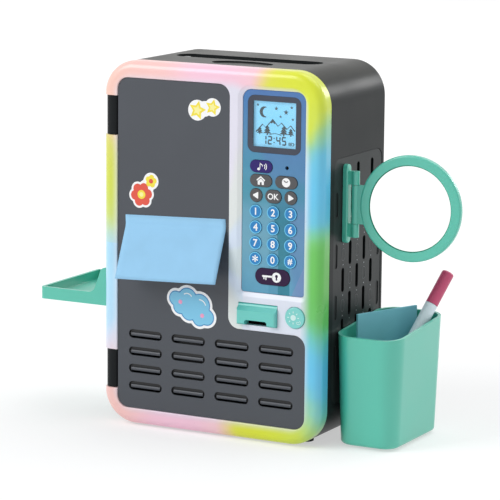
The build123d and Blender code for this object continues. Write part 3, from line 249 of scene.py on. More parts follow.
def paper(name, colour, rough=0.8, edges=None):
    """Uncoated paper: short fibres, a soft mottle, and on a pad the lines of its sheets.

    Edges is the direction through the thickness of a pad.
    """
    n = Nodes(name)
    coordinates = n.place()[0]
    fibres = n.noise(coordinates, 1500.0, 5.0, 0.7)
    mottle = n.noise(coordinates, 60.0, 3.0)
    height = n.math("ADD", fibres, n.product(mottle, 0.5))
    if edges:
        sheets = n.math("SINE", n.product(n.along(coordinates, edges), 2 * pi / (PAD_SHEET * MM)))
        facing = n.math("ABSOLUTE", n.along(n.add("TexCoord").outputs["Normal"], edges))
        cut = n.span(facing, 0.4, 0.6, 1.0, 0.0)
        height = n.math("ADD", height, n.product(sheets, n.product(cut, 2.0)))
    bump = n.add("Bump", {"Strength": 0.25, "Distance": 0.05 * MM, "Height": height})
    n.feed(n.shader.inputs["Normal"], bump.outputs[0])
    n.paint(colour, n.span(mottle, 0.25, 0.75, 0.97, 1.03))
    n.fix(Roughness=rough, Specular_IOR_Level=0.2)
    return n.material


# Frame: rainbow colours that run round the outer edge and fade towards the middle

LAVENDER = rgb(226, 230, 243)
LIME = rgb(224, 232, 34)
SALMON = rgb(252, 202, 194)
PINK = rgb(252, 204, 226)
SKY = rgb(100, 200, 242)
LEAF = rgb(104, 198, 84)
ICE = rgb(178, 226, 252)
STRAW = rgb(212, 222, 66)
RAINBOW = [
    (0.000, ICE), (0.066, ICE), (0.084, rgb(228, 228, 246)), (0.104, SALMON), (0.140, SALMON),
    (0.170, PINK), (0.262, PINK), (0.283, rgb(236, 216, 120)), (0.295, LIME), (0.362, LIME),
    (0.384, rgb(140, 212, 170)), (0.400, SKY), (0.422, SKY), (0.438, rgb(110, 205, 160)), (0.449, LEAF),
    (0.508, LEAF), (0.521, rgb(130, 215, 130)), (0.534, SKY), (0.583, SKY), (0.598, rgb(150, 214, 150)),
    (0.609, LIME), (0.669, LIME), (0.680, rgb(246, 212, 150)), (0.691, PINK), (0.780, PINK),
    (0.820, SALMON), (0.902, SALMON), (0.918, STRAW), (0.975, STRAW), (1.000, ICE),
]
FADE_START = 7.5
FADE_END = 17.5
FADE_STRENGTH = 0.86
LATE_FADE = 6.0


def frame_plastic(name):
    n = Nodes(name)
    coordinates, x, _, z = n.place()
    slow = n.moulded(coordinates, 0.7, 0.12, 0.30, 0.03)
    # the angle round the middle, on a drawing squeezed to a square
    up = n.math("SUBTRACT", z, BODY_MIDDLE_Z * MM)
    squared = n.product(up, BODY_WIDTH / BODY_HEIGHT)
    turn = n.add("CombineXYZ", {0: x, 1: squared, 2: 0.0}).outputs[0]
    angle = n.add("TexGradient", {0: turn}, gradient_type="RADIAL").outputs["Fac"]
    waver = n.span(n.noise(coordinates, 45.0, 2.0), 0.2, 0.8, -0.004, 0.004)
    colour = n.ramp(n.math("ADD", angle, waver), RAINBOW, "B_SPLINE")
    inwards = n.inwards(x, z)
    # the fade starts later at the upper right, where the colour runs up to the keypad
    high = n.span(z, 222 * MM, 262 * MM, smooth=True)
    right = n.span(x, 18 * MM, 40 * MM, smooth=True)
    depth = n.math("SUBTRACT", inwards, n.product(high, right, LATE_FADE * MM))
    fade = n.span(depth, FADE_START * MM, FADE_END * MM, smooth=True)
    # round the keypad, well inside the outline, the frame is lavender right through
    middle = n.product(n.span(x, 20 * MM, 30 * MM), n.span(inwards, 12 * MM, 17 * MM))
    strength = n.math("MAXIMUM", n.product(fade, FADE_STRENGTH), middle)
    at_edge = n.span(inwards, 0.0, 5 * MM, 0.12, 0.0, smooth=True)
    deep = n.mix(at_edge, colour, n.mix(1.0, colour, colour, "MULTIPLY"))
    n.paint(n.mix(strength, deep, LAVENDER), n.span(slow, 0.25, 0.75, 0.98, 1.02))
    n.fix(Coat_Weight=0.25, Coat_Roughness=0.18)
    return n.material


# Keypad plate: a printed sheet of overlapping blue, teal and violet facets

KEYPAD_BOTTOM = 118
KEYPAD_TOP = 275
STRIPE_LEFT = 58.5
STRIPE_RIGHT = 68.5
STRIPE_FLARE = 8
PALE_STRIPE_LEFT = 50.5
FACET_FOOT_X = 70
FACET_TOP = 148


def keypad_print(name):
    n = Nodes(name)
    coordinates, x, _, z = n.place()
    n.moulded(coordinates, 0.5, 0.06, 0.22, 0.03)
    print_colour = n.ramp(n.span(z, KEYPAD_BOTTOM * MM, KEYPAD_TOP * MM), [
        (0.0, rgb(88, 158, 190)), (0.25, rgb(108, 166, 188)), (0.50, rgb(96, 158, 184)),
        (0.62, rgb(70, 145, 175)), (0.80, rgb(78, 135, 178)), (1.0, rgb(62, 118, 180)),
    ])
    # violet towards the upper right
    slant = n.math("ADD", x, n.product(z, 0.28))
    violet = n.span(slant, 102 * MM, 112 * MM, smooth=True)
    print_colour = n.mix(n.product(violet, 0.55), print_colour, rgb(84, 120, 178))
    # a teal band behind the OK key and the keys beside and above it
    below = n.span(z, 212 * MM, 200 * MM, smooth=True)
    band = n.product(n.span(z, 178 * MM, 196 * MM, smooth=True), below)
    print_colour = n.mix(n.product(band, 0.55), print_colour, rgb(40, 140, 160))
    # a teal stripe that widens at its top, and a paler one beside it
    flare = n.product(n.span(z, 158 * MM, 196 * MM), STRIPE_FLARE * MM)
    left_edge = n.math("SUBTRACT", STRIPE_LEFT * MM, flare)
    stripe = n.product(n.math("GREATER_THAN", x, left_edge), n.math("LESS_THAN", x, STRIPE_RIGHT * MM))
    stripe = n.product(stripe, n.span(z, 204 * MM, 176 * MM, smooth=True))
    print_colour = n.mix(n.product(stripe, 0.85), print_colour, rgb(14, 122, 142))
    right_of = n.math("GREATER_THAN", x, PALE_STRIPE_LEFT * MM)
    beside = n.product(right_of, n.math("LESS_THAN", x, left_edge))
    beside = n.product(beside, n.span(z, 172 * MM, 150 * MM, smooth=True))
    print_colour = n.mix(n.product(beside, 0.35), print_colour, rgb(50, 135, 165))
    # violet facet in the lower right corner
    fold = n.math("SUBTRACT", x, n.product(n.math("SUBTRACT", z, KEYPAD_BOTTOM * MM), 0.45))
    facet = n.product(n.math("GREATER_THAN", fold, FACET_FOOT_X * MM), n.math("LESS_THAN", z, FACET_TOP * MM))
    print_colour = n.mix(n.product(facet, 0.45), print_colour, rgb(128, 142, 190))
    n.paint(print_colour, n.span(n.noise(coordinates, 90.0, 3.0), 0.25, 0.75, 0.96, 1.04))
    return n.material


# Window over the display: clear in the middle, printed dark round it

SCREEN_X, SCREEN_Y, SCREEN_Z = 54.0, -50.0, 248.6
SCREEN_WIDTH, SCREEN_HEIGHT = 36.6, 35.0
SCREEN_DOT = 0.6


def window_glass(name):
    n = Nodes(name)
    coordinates, x, _, z = n.place()
    off_x = n.math("ABSOLUTE", n.math("SUBTRACT", x, SCREEN_X * MM))
    off_z = n.math("ABSOLUTE", n.math("SUBTRACT", z, SCREEN_Z * MM))
    outside_x = n.math("GREATER_THAN", off_x, SCREEN_WIDTH / 2 * MM)
    outside_z = n.math("GREATER_THAN", off_z, SCREEN_HEIGHT / 2 * MM)
    border = n.math("MAXIMUM", outside_x, outside_z)
    mottle = n.noise(coordinates, 70.0, 3.0)
    printed = n.mix(n.span(mottle, 0.3, 0.7), rgb(54, 60, 76), rgb(60, 66, 82))
    n.feed(n.shader.inputs["Base Color"], n.mix(border, rgb(190, 225, 240), printed))
    n.feed(n.shader.inputs["Alpha"], n.span(border, 0.0, 1.0, 0.07, 1.0))
    n.feed(n.shader.inputs["Roughness"], n.span(mottle, 0.3, 0.7, 0.10, 0.16))
    return n.material


def display_crystal(name):
    """Lit liquid crystal: a fine lattice of dots, a little paler away from the middle."""
    n = Nodes(name)
    coordinates, x, _, z = n.place()
    dots_x = n.math("SINE", n.product(x, 2 * pi / (SCREEN_DOT * MM)))
    dots_z = n.math("SINE", n.product(z, 2 * pi / (SCREEN_DOT * MM)))
    cells = n.span(n.product(dots_x, dots_z), -1.0, 1.0, 0.97, 1.03)
    away = n.away(coordinates, (SCREEN_X * MM, SCREEN_Y * MM, SCREEN_Z * MM))
    glow = n.mix(n.span(away, 4 * MM, 26 * MM), rgb(126, 206, 242), rgb(146, 216, 250))
    n.feed(n.shader.inputs["Emission Color"], n.paint(glow, cells))
    n.fix(Emission_Strength=0.25, Roughness=0.35)
    return n.material


# Circuit board: green mask with fine copper lines under it

def board_mask(name):
    n = Nodes(name)
    inputs = {"Vector": n.place()[0], "Scale": 220.0}
    cells = n.add("TexVoronoi", inputs, distance="CHEBYCHEV", feature="F1").outputs["Distance"]
    tracks = n.span(n.math("ABSOLUTE", n.math("SUBTRACT", cells, 0.34)), 0.02, 0.05, 1.0, 0.0)
    n.feed(n.shader.inputs["Base Color"], n.mix(tracks, rgb(22, 92, 52), rgb(62, 138, 84)))
    bump = n.add("Bump", {"Strength": 0.4, "Distance": 0.05 * MM, "Height": tracks})
    n.feed(n.shader.inputs["Normal"], bump.outputs[0])
    n.fix(Roughness=0.35)
    return n.material


CELL_BAND_START = 150
CELL_BAND_FULL = 151


def cell_wrap(name):
    """Battery sleeve: dark body with a copper band at the raised end."""
    n = Nodes(name)
    coordinates, _, _, z = n.place()
    band = n.span(z, CELL_BAND_START * MM, CELL_BAND_FULL * MM)
    n.feed(n.shader.inputs["Base Color"], n.mix(band, rgb(70, 74, 80), rgb(196, 160, 96)))
    scuffs = n.noise(coordinates, 260.0, 4.0)
    n.feed(n.shader.inputs["Roughness"], n.span(scuffs, 0.3, 0.7, 0.22, 0.38))
    n.fix(Metallic=0.5)
    return n.material


def polished(name):
    """Silvered glass: a clear bright surface with the faintest haze."""
    n = Nodes(name)
    coordinates = n.place()[0]
    haze = n.noise(coordinates, 40.0, 4.0)
    n.feed(n.shader.inputs["Roughness"], n.span(haze, 0.3, 0.7, 0.01, 0.03))
    silver = n.mix(n.span(haze, 0.3, 0.7), rgb(255, 255, 255), rgb(250, 252, 253))
    n.feed(n.shader.inputs["Base Color"], silver)
    n.fix(Metallic=1.0)
    return n.material


SKIN_START = 1.2
SKIN_END = 2.2
CEILING_START = 283
CEILING_END = 276
PAINTED_TOP_LIGHT_START = 245
PAINTED_TOP_LIGHT_FULL = 280
HOUSING_OUTSIDE = rgb(32, 36, 37)
PAINTED_TOP_LIGHT = rgb(50, 51, 48)
HOUSING_INSIDE = rgb(96, 102, 106)
HINGE_BLOCK_SHADE = rgb(24, 27, 29)


def housing_plastic(name):
    """Dark satin plastic: painted light makes it paler and warmer where it faces up, grey inside the locker;
    painted shade makes it dark at the hinges.
    """
    n = Nodes(name)
    coordinates, x, y, z = n.place()
    slow = n.moulded(coordinates, 0.8, 0.18, 0.36, 0.04)
    # painted light: paler and warmer where the housing faces up near its top
    up = n.add("SeparateXYZ", {0: n.add("TexCoord").outputs["Normal"]}).outputs[2]
    high = n.span(z, PAINTED_TOP_LIGHT_START * MM, PAINTED_TOP_LIGHT_FULL * MM)
    top = n.product(n.span(up, 0.35, 0.95, smooth=True), high)
    colour = n.mix(top, HOUSING_OUTSIDE, PAINTED_TOP_LIGHT)
    under_skin = n.span(n.inwards(x, z), SKIN_START * MM, SKIN_END * MM)
    below_top = n.span(z, CEILING_START * MM, CEILING_END * MM)
    inside = n.product(under_skin, below_top, n.math("LESS_THAN", y, LOCKER_BACK * MM))
    colour = n.mix(inside, colour, HOUSING_INSIDE)
    # painted shade: the hinge blocks at the front are darker
    colour = n.mix(n.math("LESS_THAN", y, HINGE_BLOCK_Y * MM), colour, HINGE_BLOCK_SHADE)
    n.paint(colour, n.span(slow, 0.25, 0.75, 0.95, 1.05))
    n.fix(Specular_IOR_Level=0.14)
    return n.material


def teal_plastic(name, colour):
    """Glossy, slightly translucent plastic of the green parts."""
    return plastic(name, colour, 0.34, 0.8, 0.12, 0.02, specular=0.8, glow=0.14, coat=0.55)


# axis number, and where along it the face and the floor of the hollows lie, for the painted shade in them
LOUVRE_GROOVES = (1, 53.5, 52.2)
PANEL_SLOTS = (0, 95.5, 94.6)

materials = {
    "housing_grey": housing_plastic("housing_grey"),
    "foot_rubber": plastic("foot_rubber", rgb(34, 34, 36), 0.8, 0.4, 0.5),
    "pin_steel": metal("pin_steel", rgb(190, 192, 195), 0.3),
    "handle_grey": plastic("handle_grey", rgb(56, 59, 65), 0.38),
    "frame_pastel": frame_plastic("frame_pastel"),
    "panel_grey": plastic("panel_grey", rgb(69, 73, 80), 0.42, 0.6, 0.16, 0.03, hollow_shade=LOUVRE_GROOVES),
    "battery": cell_wrap("battery"),
    "keypad_blue": keypad_print("keypad_blue"),
    "display_window": window_glass("display_window"),
    "display": display_crystal("display"),
    "key_rubber": plastic("key_rubber", rgb(90, 92, 96), 0.75, 0.4, 0.3),
    "board": board_mask("board"),
    "speaker_black": plastic("speaker_black", rgb(26, 27, 29), 0.6, 0.5, 0.5),
    "teal": teal_plastic("teal", TEAL),
    "mint": teal_plastic("mint", rgb(94, 200, 190)),
    "pale_mint": teal_plastic("pale_mint", rgb(118, 210, 204)),
    "motor_steel": metal("motor_steel", rgb(180, 182, 184), 0.32, 1),
    "white_plastic": plastic("white_plastic", rgb(228, 226, 218), 0.45, 0.6, 0.2, 0.02),
    "mirror": polished("mirror"),
    "pad_paper": paper("pad_paper", rgb(134, 206, 222), 0.75, (-sin(PAD_TURN), cos(PAD_TURN), 0.0)),
    "marker_pale": plastic("marker_pale", rgb(228, 240, 248), 0.34, 0.7, 0.1, 0.02),
    "marker_magenta": plastic("marker_magenta", rgb(200, 78, 116), 0.34, 0.7, 0.1, 0.03),
    "note_paper": paper("note_paper", rgb(156, 206, 240), 0.85),
    "key_plum": plastic("key_plum", rgb(44, 16, 58), 0.4, 0.4, 0.1, 0.03, specular=0.25),
    "key_blue": plastic("key_blue", rgb(32, 128, 192), 0.38, 0.4, 0.08, 0.03),
    "key_grey": plastic("key_grey", rgb(76, 76, 78), 0.45, 0.4, 0.12, 0.03),
    "key_navy": plastic("key_navy", rgb(48, 34, 108), 0.4, 0.4, 0.1, 0.03, specular=0.25),
    "plate_grey": plastic("plate_grey", rgb(45, 49, 50), 0.40, 0.7, 0.22, 0.05, 0.22, hollow_shade=PANEL_SLOTS),
    "stud_painted_light": plastic("stud_painted_light", rgb(132, 137, 137), 0.34, 0.5, 0.15),
}
# nodes that look a little different from the rest of their slot; the handle stud's paler grey is painted
# light, for the light it catches
own_look = {
    "key_music": "key_navy", "handle_stud": "stud_painted_light", "door_pull": "mint", "light_button": "pale_mint",
    "side_panel_left": "plate_grey", "side_panel_right": "plate_grey",
}
slot_of = {part["node"]: part["material_slot"] for part in frame["record"]["subparts"]}
for name, piece in nodes.items():
    piece.data.materials.clear()
    piece.data.materials.append(materials[own_look.get(name, slot_of[name])])


# Outlines, in millimetres on a flat drawing

def ring(x, y, radius, count=40, squeeze=1.0):
    turns = [2 * pi * i / count for i in range(count)]
    return [(x + radius * cos(t), y + radius * squeeze * sin(t)) for t in turns]


def pill(x, y, width, height, radius=None, count=8):
    """A rectangle with round corners."""
    radius = min(width, height) / 2 if radius is None else radius
    points = []
    for quarter, (sx, sy) in enumerate(((1, 1), (-1, 1), (-1, -1), (1, -1))):
        cx, cy = x + sx * (width / 2 - radius), y + sy * (height / 2 - radius)
        for i in range(count + 1):
            t = pi / 2 * (quarter + i / count)
            points.append((cx + radius * cos(t), cy + radius * sin(t)))
    return points


def star(x, y, outer, inner, points=5, turn=90.0):
    corners = []
    for i in range(2 * points):
        radius = outer if i % 2 == 0 else inner
        t = radians(turn) + pi * i / points
        corners.append((x + radius * cos(t), y + radius * sin(t)))
    return corners


def grown(circles, x, y, extra=0.0, count=96):
    """The outline round several circles that all reach the point x, y."""
    points = []
    for i in range(count):
        t = 2 * pi * i / count
        reach = 0.0
        for cx, cy, radius in circles:
            dx, dy, r = cx - x, cy - y, radius + extra
            along = dx * cos(t) + dy * sin(t)
            across = dx * sin(t) - dy * cos(t)
            if abs(across) < r:
                reach = max(reach, along + (r * r - across * across) ** 0.5)
        points.append((x + reach * cos(t), y + reach * sin(t)))
    return points


def stroke(points, width):
    """A line of that width through the points, with square ends."""
    left, right = [], []
    for i, (x, y) in enumerate(points):
        ax, ay = points[max(i - 1, 0)]
        bx, by = points[min(i + 1, len(points) - 1)]
        length = hypot(bx - ax, by - ay)
        nx, ny = (ay - by) / length * width / 2, (bx - ax) / length * width / 2
        left.append((x + nx, y + ny))
        right.append((x - nx, y - ny))
    return left + right[::-1]


def arc(x, y, radius, start, end, count=12):
    turns = [radians(start + (end - start) * i / count) for i in range(count + 1)]
    return [(x + radius * cos(t), y + radius * sin(t)) for t in turns]


def moved(points, x, y, turn=0.0):
    c, s = cos(radians(turn)), sin(radians(turn))
    return [(x + c * px - s * py, y + s * px + c * py) for px, py in points]


def mirrored(half):
    """A closed outline from its right half, which runs from the top down."""
    return half + [(-x, y) for x, y in half[::-1] if x]


# Flat pieces: outlines filled and given a thickness, laid on a face

FRONT = Matrix(((1, 0, 0, 0), (0, 0, -1, 0), (0, 1, 0, 0), (0, 0, 0, 1)))
BACK = Matrix(((-1, 0, 0, 0), (0, 0, 1, 0), (0, 1, 0, 0), (0, 0, 0, 1)))
RIGHT = Matrix(((0, 0, 1, 0), (1, 0, 0, 0), (0, 1, 0, 0), (0, 0, 0, 1)))
LEFT = Matrix(((0, 0, -1, 0), (-1, 0, 0, 0), (0, 1, 0, 0), (0, 0, 0, 1)))
SINK = 0.02  # how far the back of a flat piece lies under the face it is on
PRINT_THICKNESS = 0.12


def added(name, data):
    """A new object in the scene, made of a mesh, a curve, a lamp or a camera."""
    item = bpy.data.objects.new(name, data)
    bpy.context.scene.collection.objects.link(item)
    return item


def lay(curve, name, body, material, side, level, thickness):
    """Turns a flat curve into a mesh piece whose back lies at a level along the side's normal."""
    curve.extrude = thickness / 2 * MM
    curve.fill_mode = "BOTH"
    holder = added(name + ".curve", curve)
    bpy.context.view_layer.update()
    mesh = bpy.data.meshes.new_from_object(holder.evaluated_get(bpy.context.evaluated_depsgraph_get()))
    bpy.data.objects.remove(holder)
    bpy.data.curves.remove(curve)
    mesh.transform(side @ Matrix.Translation((0, 0, (level + thickness / 2) * MM)))
    mesh.name = name
    mesh.materials.clear()
    mesh.materials.append(material)
    piece = added(name, mesh)
    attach(piece, body)


def flat(name, outlines, body, material, side, level, thickness=PRINT_THICKNESS):
    """A flat piece from closed outlines; an outline inside another one is a hole."""
    curve = bpy.data.curves.new(name, "CURVE")
    curve.dimensions = "2D"
    for outline in outlines:
        spline = curve.splines.new("POLY")
        spline.points.add(len(outline) - 1)
        for point, (x, y) in zip(spline.points, outline):
            point.co = (x * MM, y * MM, 0, 1)
        spline.use_cyclic_u = True
    lay(curve, name, body, material, side, level, thickness)


def sign(name, text, x, y, size, body, material, side, level, bold):
    """Characters centred on a point; bold thickens their strokes."""
    curve = bpy.data.curves.new(name, "FONT")
    curve.body = text
    curve.size = size * MM
    curve.align_x = "CENTER"
    curve.offset = bold * MM
    curve.resolution_u = 4
    probe = added(name + ".probe", curve)
    bpy.context.view_layer.update()
    corners = [Vector(c) for c in probe.bound_box]
    middle = (min(c.y for c in corners) + max(c.y for c in corners)) / 2
    across = (min(c.x for c in corners) + max(c.x for c in corners)) / 2
    bpy.data.objects.remove(probe)
    shifted = side @ Matrix.Translation((x * MM - across, y * MM - middle, 0))
    lay(curve, name, body, material, shifted, level, PRINT_THICKNESS)


# Printed inks and films

ink_white = plastic("ink_white", WHITE, 0.45, 0.3, 0.05, 0.01)
ink_dark = plastic("ink_dark", rgb(52, 54, 58), 0.45, 0.3, 0.05, 0.02)
ink_black = plastic("ink_black", INK, 0.5, 0.3, 0.05, 0.02)
ink_rim = plastic("ink_rim", rgb(112, 204, 240), 0.4, 0.3, 0.05, 0.02)
ink_pale_teal = plastic("ink_pale_teal", PALE_TEAL, 0.4, 0.3, 0.05, 0.02)
film_white = plastic("film_white", WHITE, 0.35, 0.5, 0.05, 0.01)
film_yellow = plastic("film_yellow", rgb(246, 226, 70), 0.35, 0.5, 0.05, 0.02)
film_cream = plastic("film_cream", rgb(252, 244, 160), 0.35, 0.5, 0.05, 0.02)
film_red = plastic("film_red", rgb(226, 84, 66), 0.35, 0.5, 0.05, 0.02)
film_blue = plastic("film_blue", rgb(128, 200, 232), 0.35, 0.5, 0.05, 0.02)
film_deep = plastic("film_deep", rgb(64, 140, 196), 0.35, 0.5, 0.05, 0.02)
film_pink = plastic("film_pink", rgb(244, 160, 196), 0.35, 0.5, 0.05, 0.02)


# Keys: printed signs on their front faces

def front_of(node):
    """How far forward a node reaches, as a level on the front side."""
    return -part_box(node)[0].y / MM


def centre_of(node):
    low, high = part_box(node)
    return (low.x + high.x) / 2 / MM, (low.z + high.z) / 2 / MM


def shift(outlines, x, y):
    return [moved(outline, x, y) for outline in outlines]


def on_key(key, name, outlines, material, rise=0.0):
    x, z = centre_of("key_" + key)
    level = front_of("key_" + key) - SINK + rise
    flat(name, shift(outlines, x, z), "button_" + key, material, FRONT, level)


def key_text(key, text, size, bold):
    x, z = centre_of("key_" + key)
    level = front_of("key_" + key) - SINK
    sign("sign_" + key, text, x, z, size, "button_" + key, ink_white, FRONT, level, bold)


KEY_RIM_OUTER = 5.1
KEY_RIM_INNER = 4.45
ROUND_KEYS = {str(digit): (str(digit), 7.6) for digit in range(10)}
ROUND_KEYS.update({"star": ("*", 11.5), "hash": ("#", 6.4)})
for key, (text, size) in ROUND_KEYS.items():
    on_key(key, "rim_" + key, [ring(0, 0, KEY_RIM_OUTER, 48), ring(0, 0, KEY_RIM_INNER, 48)], ink_rim)
    key_text(key, text, size, 0.16)
key_text("ok", "OK", 6.4, 0.12)

arrow = [(2.6, 0), (2.2, -0.55), (-1.6, -2.6), (-2.0, -2.4), (-2.0, 2.4), (-1.6, 2.6), (2.2, 0.55)]
on_key("left", "sign_left", [moved(arrow, 0, 0, 180)], ink_white)
on_key("right", "sign_right", [arrow], ink_white)

roof = mirrored([(0, 3.5), (3.8, 0.5), (3.1, -0.3), (0, 2.3)])
house = mirrored([(0, 1.7), (2.6, -0.5), (2.6, -3.2), (0.8, -3.2), (0.8, -1.2)])
on_key("home", "sign_roof", [roof], ink_white)
on_key("home", "sign_house", [house], ink_white)

on_key("clock", "sign_dial", [ring(0, 0, 3.5)], ink_white)
on_key("clock", "sign_hands", [stroke([(-2.0, 1.5), (0, 0.2), (1.7, 1.1)], 0.7)], ink_dark, 0.08)

note_head = moved(ring(0, 0, 1.25, 24, 0.8), -1.9, -2.0, 20)
note_stem = stroke([(-0.85, -1.9), (-0.85, 3.0)], 0.55)
note_flag = [(-1.1, 3.1), (-1.1, 1.9), (0.9, 0.9), (1.2, -0.4), (1.6, 1.0), (0.6, 1.9)]
on_key("music", "sign_note", [note_head, note_stem], ink_white)
on_key("music", "sign_flag", [note_flag], ink_white)
for radius in (2.2, 3.6):
    wave = stroke(arc(1.2, 0, radius, -42, 42), 0.6)
    on_key("music", f"sign_wave_{radius:.0f}", [wave], ink_white)

keyhole = arc(3.6, 0.9, 1.2, -60, 240, 20) + [(2.9, -2.2), (4.3, -2.2)]
key_shaft = [
    (-8.4, 0.95), (-8.8, 0.2), (-8.4, -0.5), (-7.6, -0.5), (-7.6, -2.2), (-6.7, -2.2), (-6.7, -0.5),
    (-5.9, -0.5), (-5.9, -2.6), (-5.0, -2.6), (-5.0, -0.5), (0.2, -0.5), (0.2, 0.95),
]
on_key("unlock", "sign_bow", [ring(3.6, 0, 3.9, 48), keyhole], ink_white)
on_key("unlock", "sign_shaft", [key_shaft], ink_white)


# Display: a night landscape with a clock under it

LCD_LEVEL = front_of("display_module")


def on_screen(name, outlines):
    flat(name, shift(outlines, SCREEN_X, SCREEN_Z), "door", ink_black, FRONT, LCD_LEVEL, 0.1)


moon = arc(-9.5, 9.0, 4.2, 60, 300, 24) + arc(-7.4, 9.0, 3.64, 270, 90, 20)
on_screen("lcd_moon", [moon])
NIGHT_STARS = (
    (0.5, 12.2, 1.7), (8.8, 9.8, 2.2), (13.6, 13.6, 1.4),
    (-15.2, 14.2, 1.3), (4.2, 6.2, 1.2), (14.6, 4.6, 1.2),
)
for i, (x, z, size) in enumerate(NIGHT_STARS):
    on_screen(f"lcd_star_{i}", [star(x, z, size, size * 0.42)])
ridge = [
    (-16.6, -6.4), (-11.0, -0.4), (-8.4, -2.8), (-2.4, 3.8), (2.0, -1.2),
    (5.0, 1.4), (9.6, -3.0), (12.8, -0.2), (16.6, -4.2),
]
on_screen("lcd_hills", [stroke(ridge, 0.8)])
on_screen("lcd_snow", [[(-2.4, 3.8), (-4.6, 1.2), (-3.2, 0.6), (-2.2, 1.5), (-1.0, 0.3), (0.2, 0.9)]])
tree = mirrored([
    (0, 6.4), (1.5, 4.2), (0.7, 4.2), (2.1, 2.2), (1.0, 2.2), (2.7, 0.4), (0.45, 0.4), (0.45, -0.9),
])
TREE_FOOT = -7.6
for i, (x, size) in enumerate(((-13.4, 1.0), (-7.0, 1.3), (7.0, 1.35), (13.0, 1.05))):
    on_screen(f"lcd_tree_{i}", [[(x + px * size, TREE_FOOT + py * size * 0.8) for px, py in tree]])
on_screen("lcd_path", [stroke(arc(0.0, -18.0, 11.0, 62, 118, 16), 0.5)])

# which of the seven strokes, a to g clockwise from the top with g in the middle, each number lights
SEGMENTS = {"1": "bc", "2": "abged", "4": "fgbc", "5": "afgcd"}
DIGIT_HEIGHT = 6.6
DIGIT_WIDTH = 3.8
DIGIT_LINE = 1.05
DIGIT_GAP = 0.18 * DIGIT_LINE


def bar(x, y, length, turn):
    """One stroke of a number, pointed at both ends, that starts at x, y."""
    half = DIGIT_LINE / 2
    end = length - half
    return moved([(0, 0), (half, half), (end, half), (length, 0), (end, -half), (half, -half)], x, y, turn)


def seven(x, z, digit):
    """The strokes of one seven-stroke number, with its lower left corner at x, z."""
    half = DIGIT_HEIGHT / 2
    level = {"a": DIGIT_HEIGHT - DIGIT_LINE / 2, "g": half, "d": DIGIT_LINE / 2}
    outlines = []
    for mark in SEGMENTS[digit]:
        if mark in level:
            outlines.append(bar(x + DIGIT_GAP, z + level[mark], DIGIT_WIDTH - 2 * DIGIT_GAP, 0))
        else:
            middle = x + (DIGIT_WIDTH - DIGIT_LINE / 2 if mark in "bc" else DIGIT_LINE / 2)
            low = z + (half if mark in "bf" else 0.0) + DIGIT_GAP
            outlines.append(bar(middle, low, half - 2 * DIGIT_GAP, 90))
    return outlines


digits = []
for x, digit in ((-11.4, "1"), (-6.6, "2"), (0.6, "4"), (5.4, "5")):
    digits += seven(x, -15.6, digit)
for i, outline in enumerate(digits):
    on_screen(f"lcd_digit_{i}", [outline])
on_screen("lcd_colon", [pill(-1.1, z, 0.9, 0.9, 0.2) for z in (-10.6, -13.8)])
on_screen("lcd_cell", [pill(13.4, -14.3, 4.4, 2.4, 0.3), pill(13.4, -14.3, 3.6, 1.6, 0.2)])
cell_bars = [pill(x, -14.3, 0.8, 1.1, 0.1) for x in (12.4, 13.5)]
cell_knob = pill(15.9, -14.3, 0.5, 1.0, 0.1)
on_screen("lcd_cell_bars", cell_bars + [cell_knob])


# Light button: a pale sun and a small swirl

BUTTON_X, BUTTON_Z = 74.5, 102.1
BUTTON_LEVEL = front_of("light_button") - SINK
SUN_X, SUN_Z = -1.0, 0.2
SUN_RAY_REACH = 4.3


def on_button(name, outlines):
    flat(name, shift(outlines, BUTTON_X, BUTTON_Z), "button", ink_pale_teal, FRONT, BUTTON_LEVEL, 0.15)


sun = [ring(SUN_X, SUN_Z, 2.25, 32)]
# seven rays; the swirl takes the place of the eighth, at the lower right
for i in range(7):
    sun.append(moved(pill(0, SUN_RAY_REACH, 0.75, 1.5, 0.3, 4), SUN_X, SUN_Z, 45 * i - 90))
on_button("button_sun", sun)
swirl = []
for i in range(22):
    t = i * 0.35
    radius = 0.5 + 0.25 * t
    swirl.append((3.2 + radius * cos(t), -3.4 + radius * 0.75 * sin(t)))
on_button("button_swirl", [stroke(swirl, 0.4)])


# Stickers on the door panel, each a die-cut film with printed shapes on it

PANEL_LEVEL = front_of("door_panel")
FILM_THICKNESS = 0.16
INK_LEVEL = 0.13
INK_STEP = 0.03
INK_THICKNESS = 0.04


def sticker(name, x, z, turn, cut, layers):
    """A white film cut round its motif, and coloured prints on it; drawings are centred on x, z."""
    film = [moved(cut, x, z, turn)]
    flat(name + "_film", film, "door", film_white, FRONT, PANEL_LEVEL - SINK, FILM_THICKNESS)
    for i, (outlines, material) in enumerate(layers):
        level = PANEL_LEVEL + INK_LEVEL + INK_STEP * i
        drawing = [moved(outline, x, z, turn) for outline in outlines]
        flat(f"{name}_print_{i}", drawing, "door", material, FRONT, level, INK_THICKNESS)


pair = [(-5.6, -2.4, 7.7), (6.8, 3.3, 6.6)]
star_cut = grown([(x, z, r * 0.86) for x, z, r in pair] + [(0.5, 0.4, 4.6)], 0.5, 0.4, 1.4)
sticker("star_sticker", -6.2, 256.6, -12.0, star_cut, [
    ([star(x, z, r, r * 0.5) for x, z, r in pair], film_yellow),
    ([star(x, z, r * 0.55, r * 0.28) for x, z, r in pair], film_cream),
])
petals = [(x, z, 3.9) for x, z in ring(0, 0, 5.6, 6)]
small = [(x, z, 2.3) for x, z in ring(10.0, 9.8, 2.8, 5)]
flower_cut = grown(petals + [(10.0, 9.8, 5.1), (4.9, 4.9, 4.9)], 1.8, 1.8, 1.6)
sticker("flower_sticker", -61.5, 186.0, 8.0, flower_cut, [
    ([grown(petals, 0, 0)], film_red),
    ([grown(small, 10.0, 9.8)], film_yellow),
    ([ring(0, 0, 3.5)], film_yellow),
    ([ring(10.0, 9.8, 1.8)], film_red),
    ([ring(0, 0, 1.8)], film_cream),
])
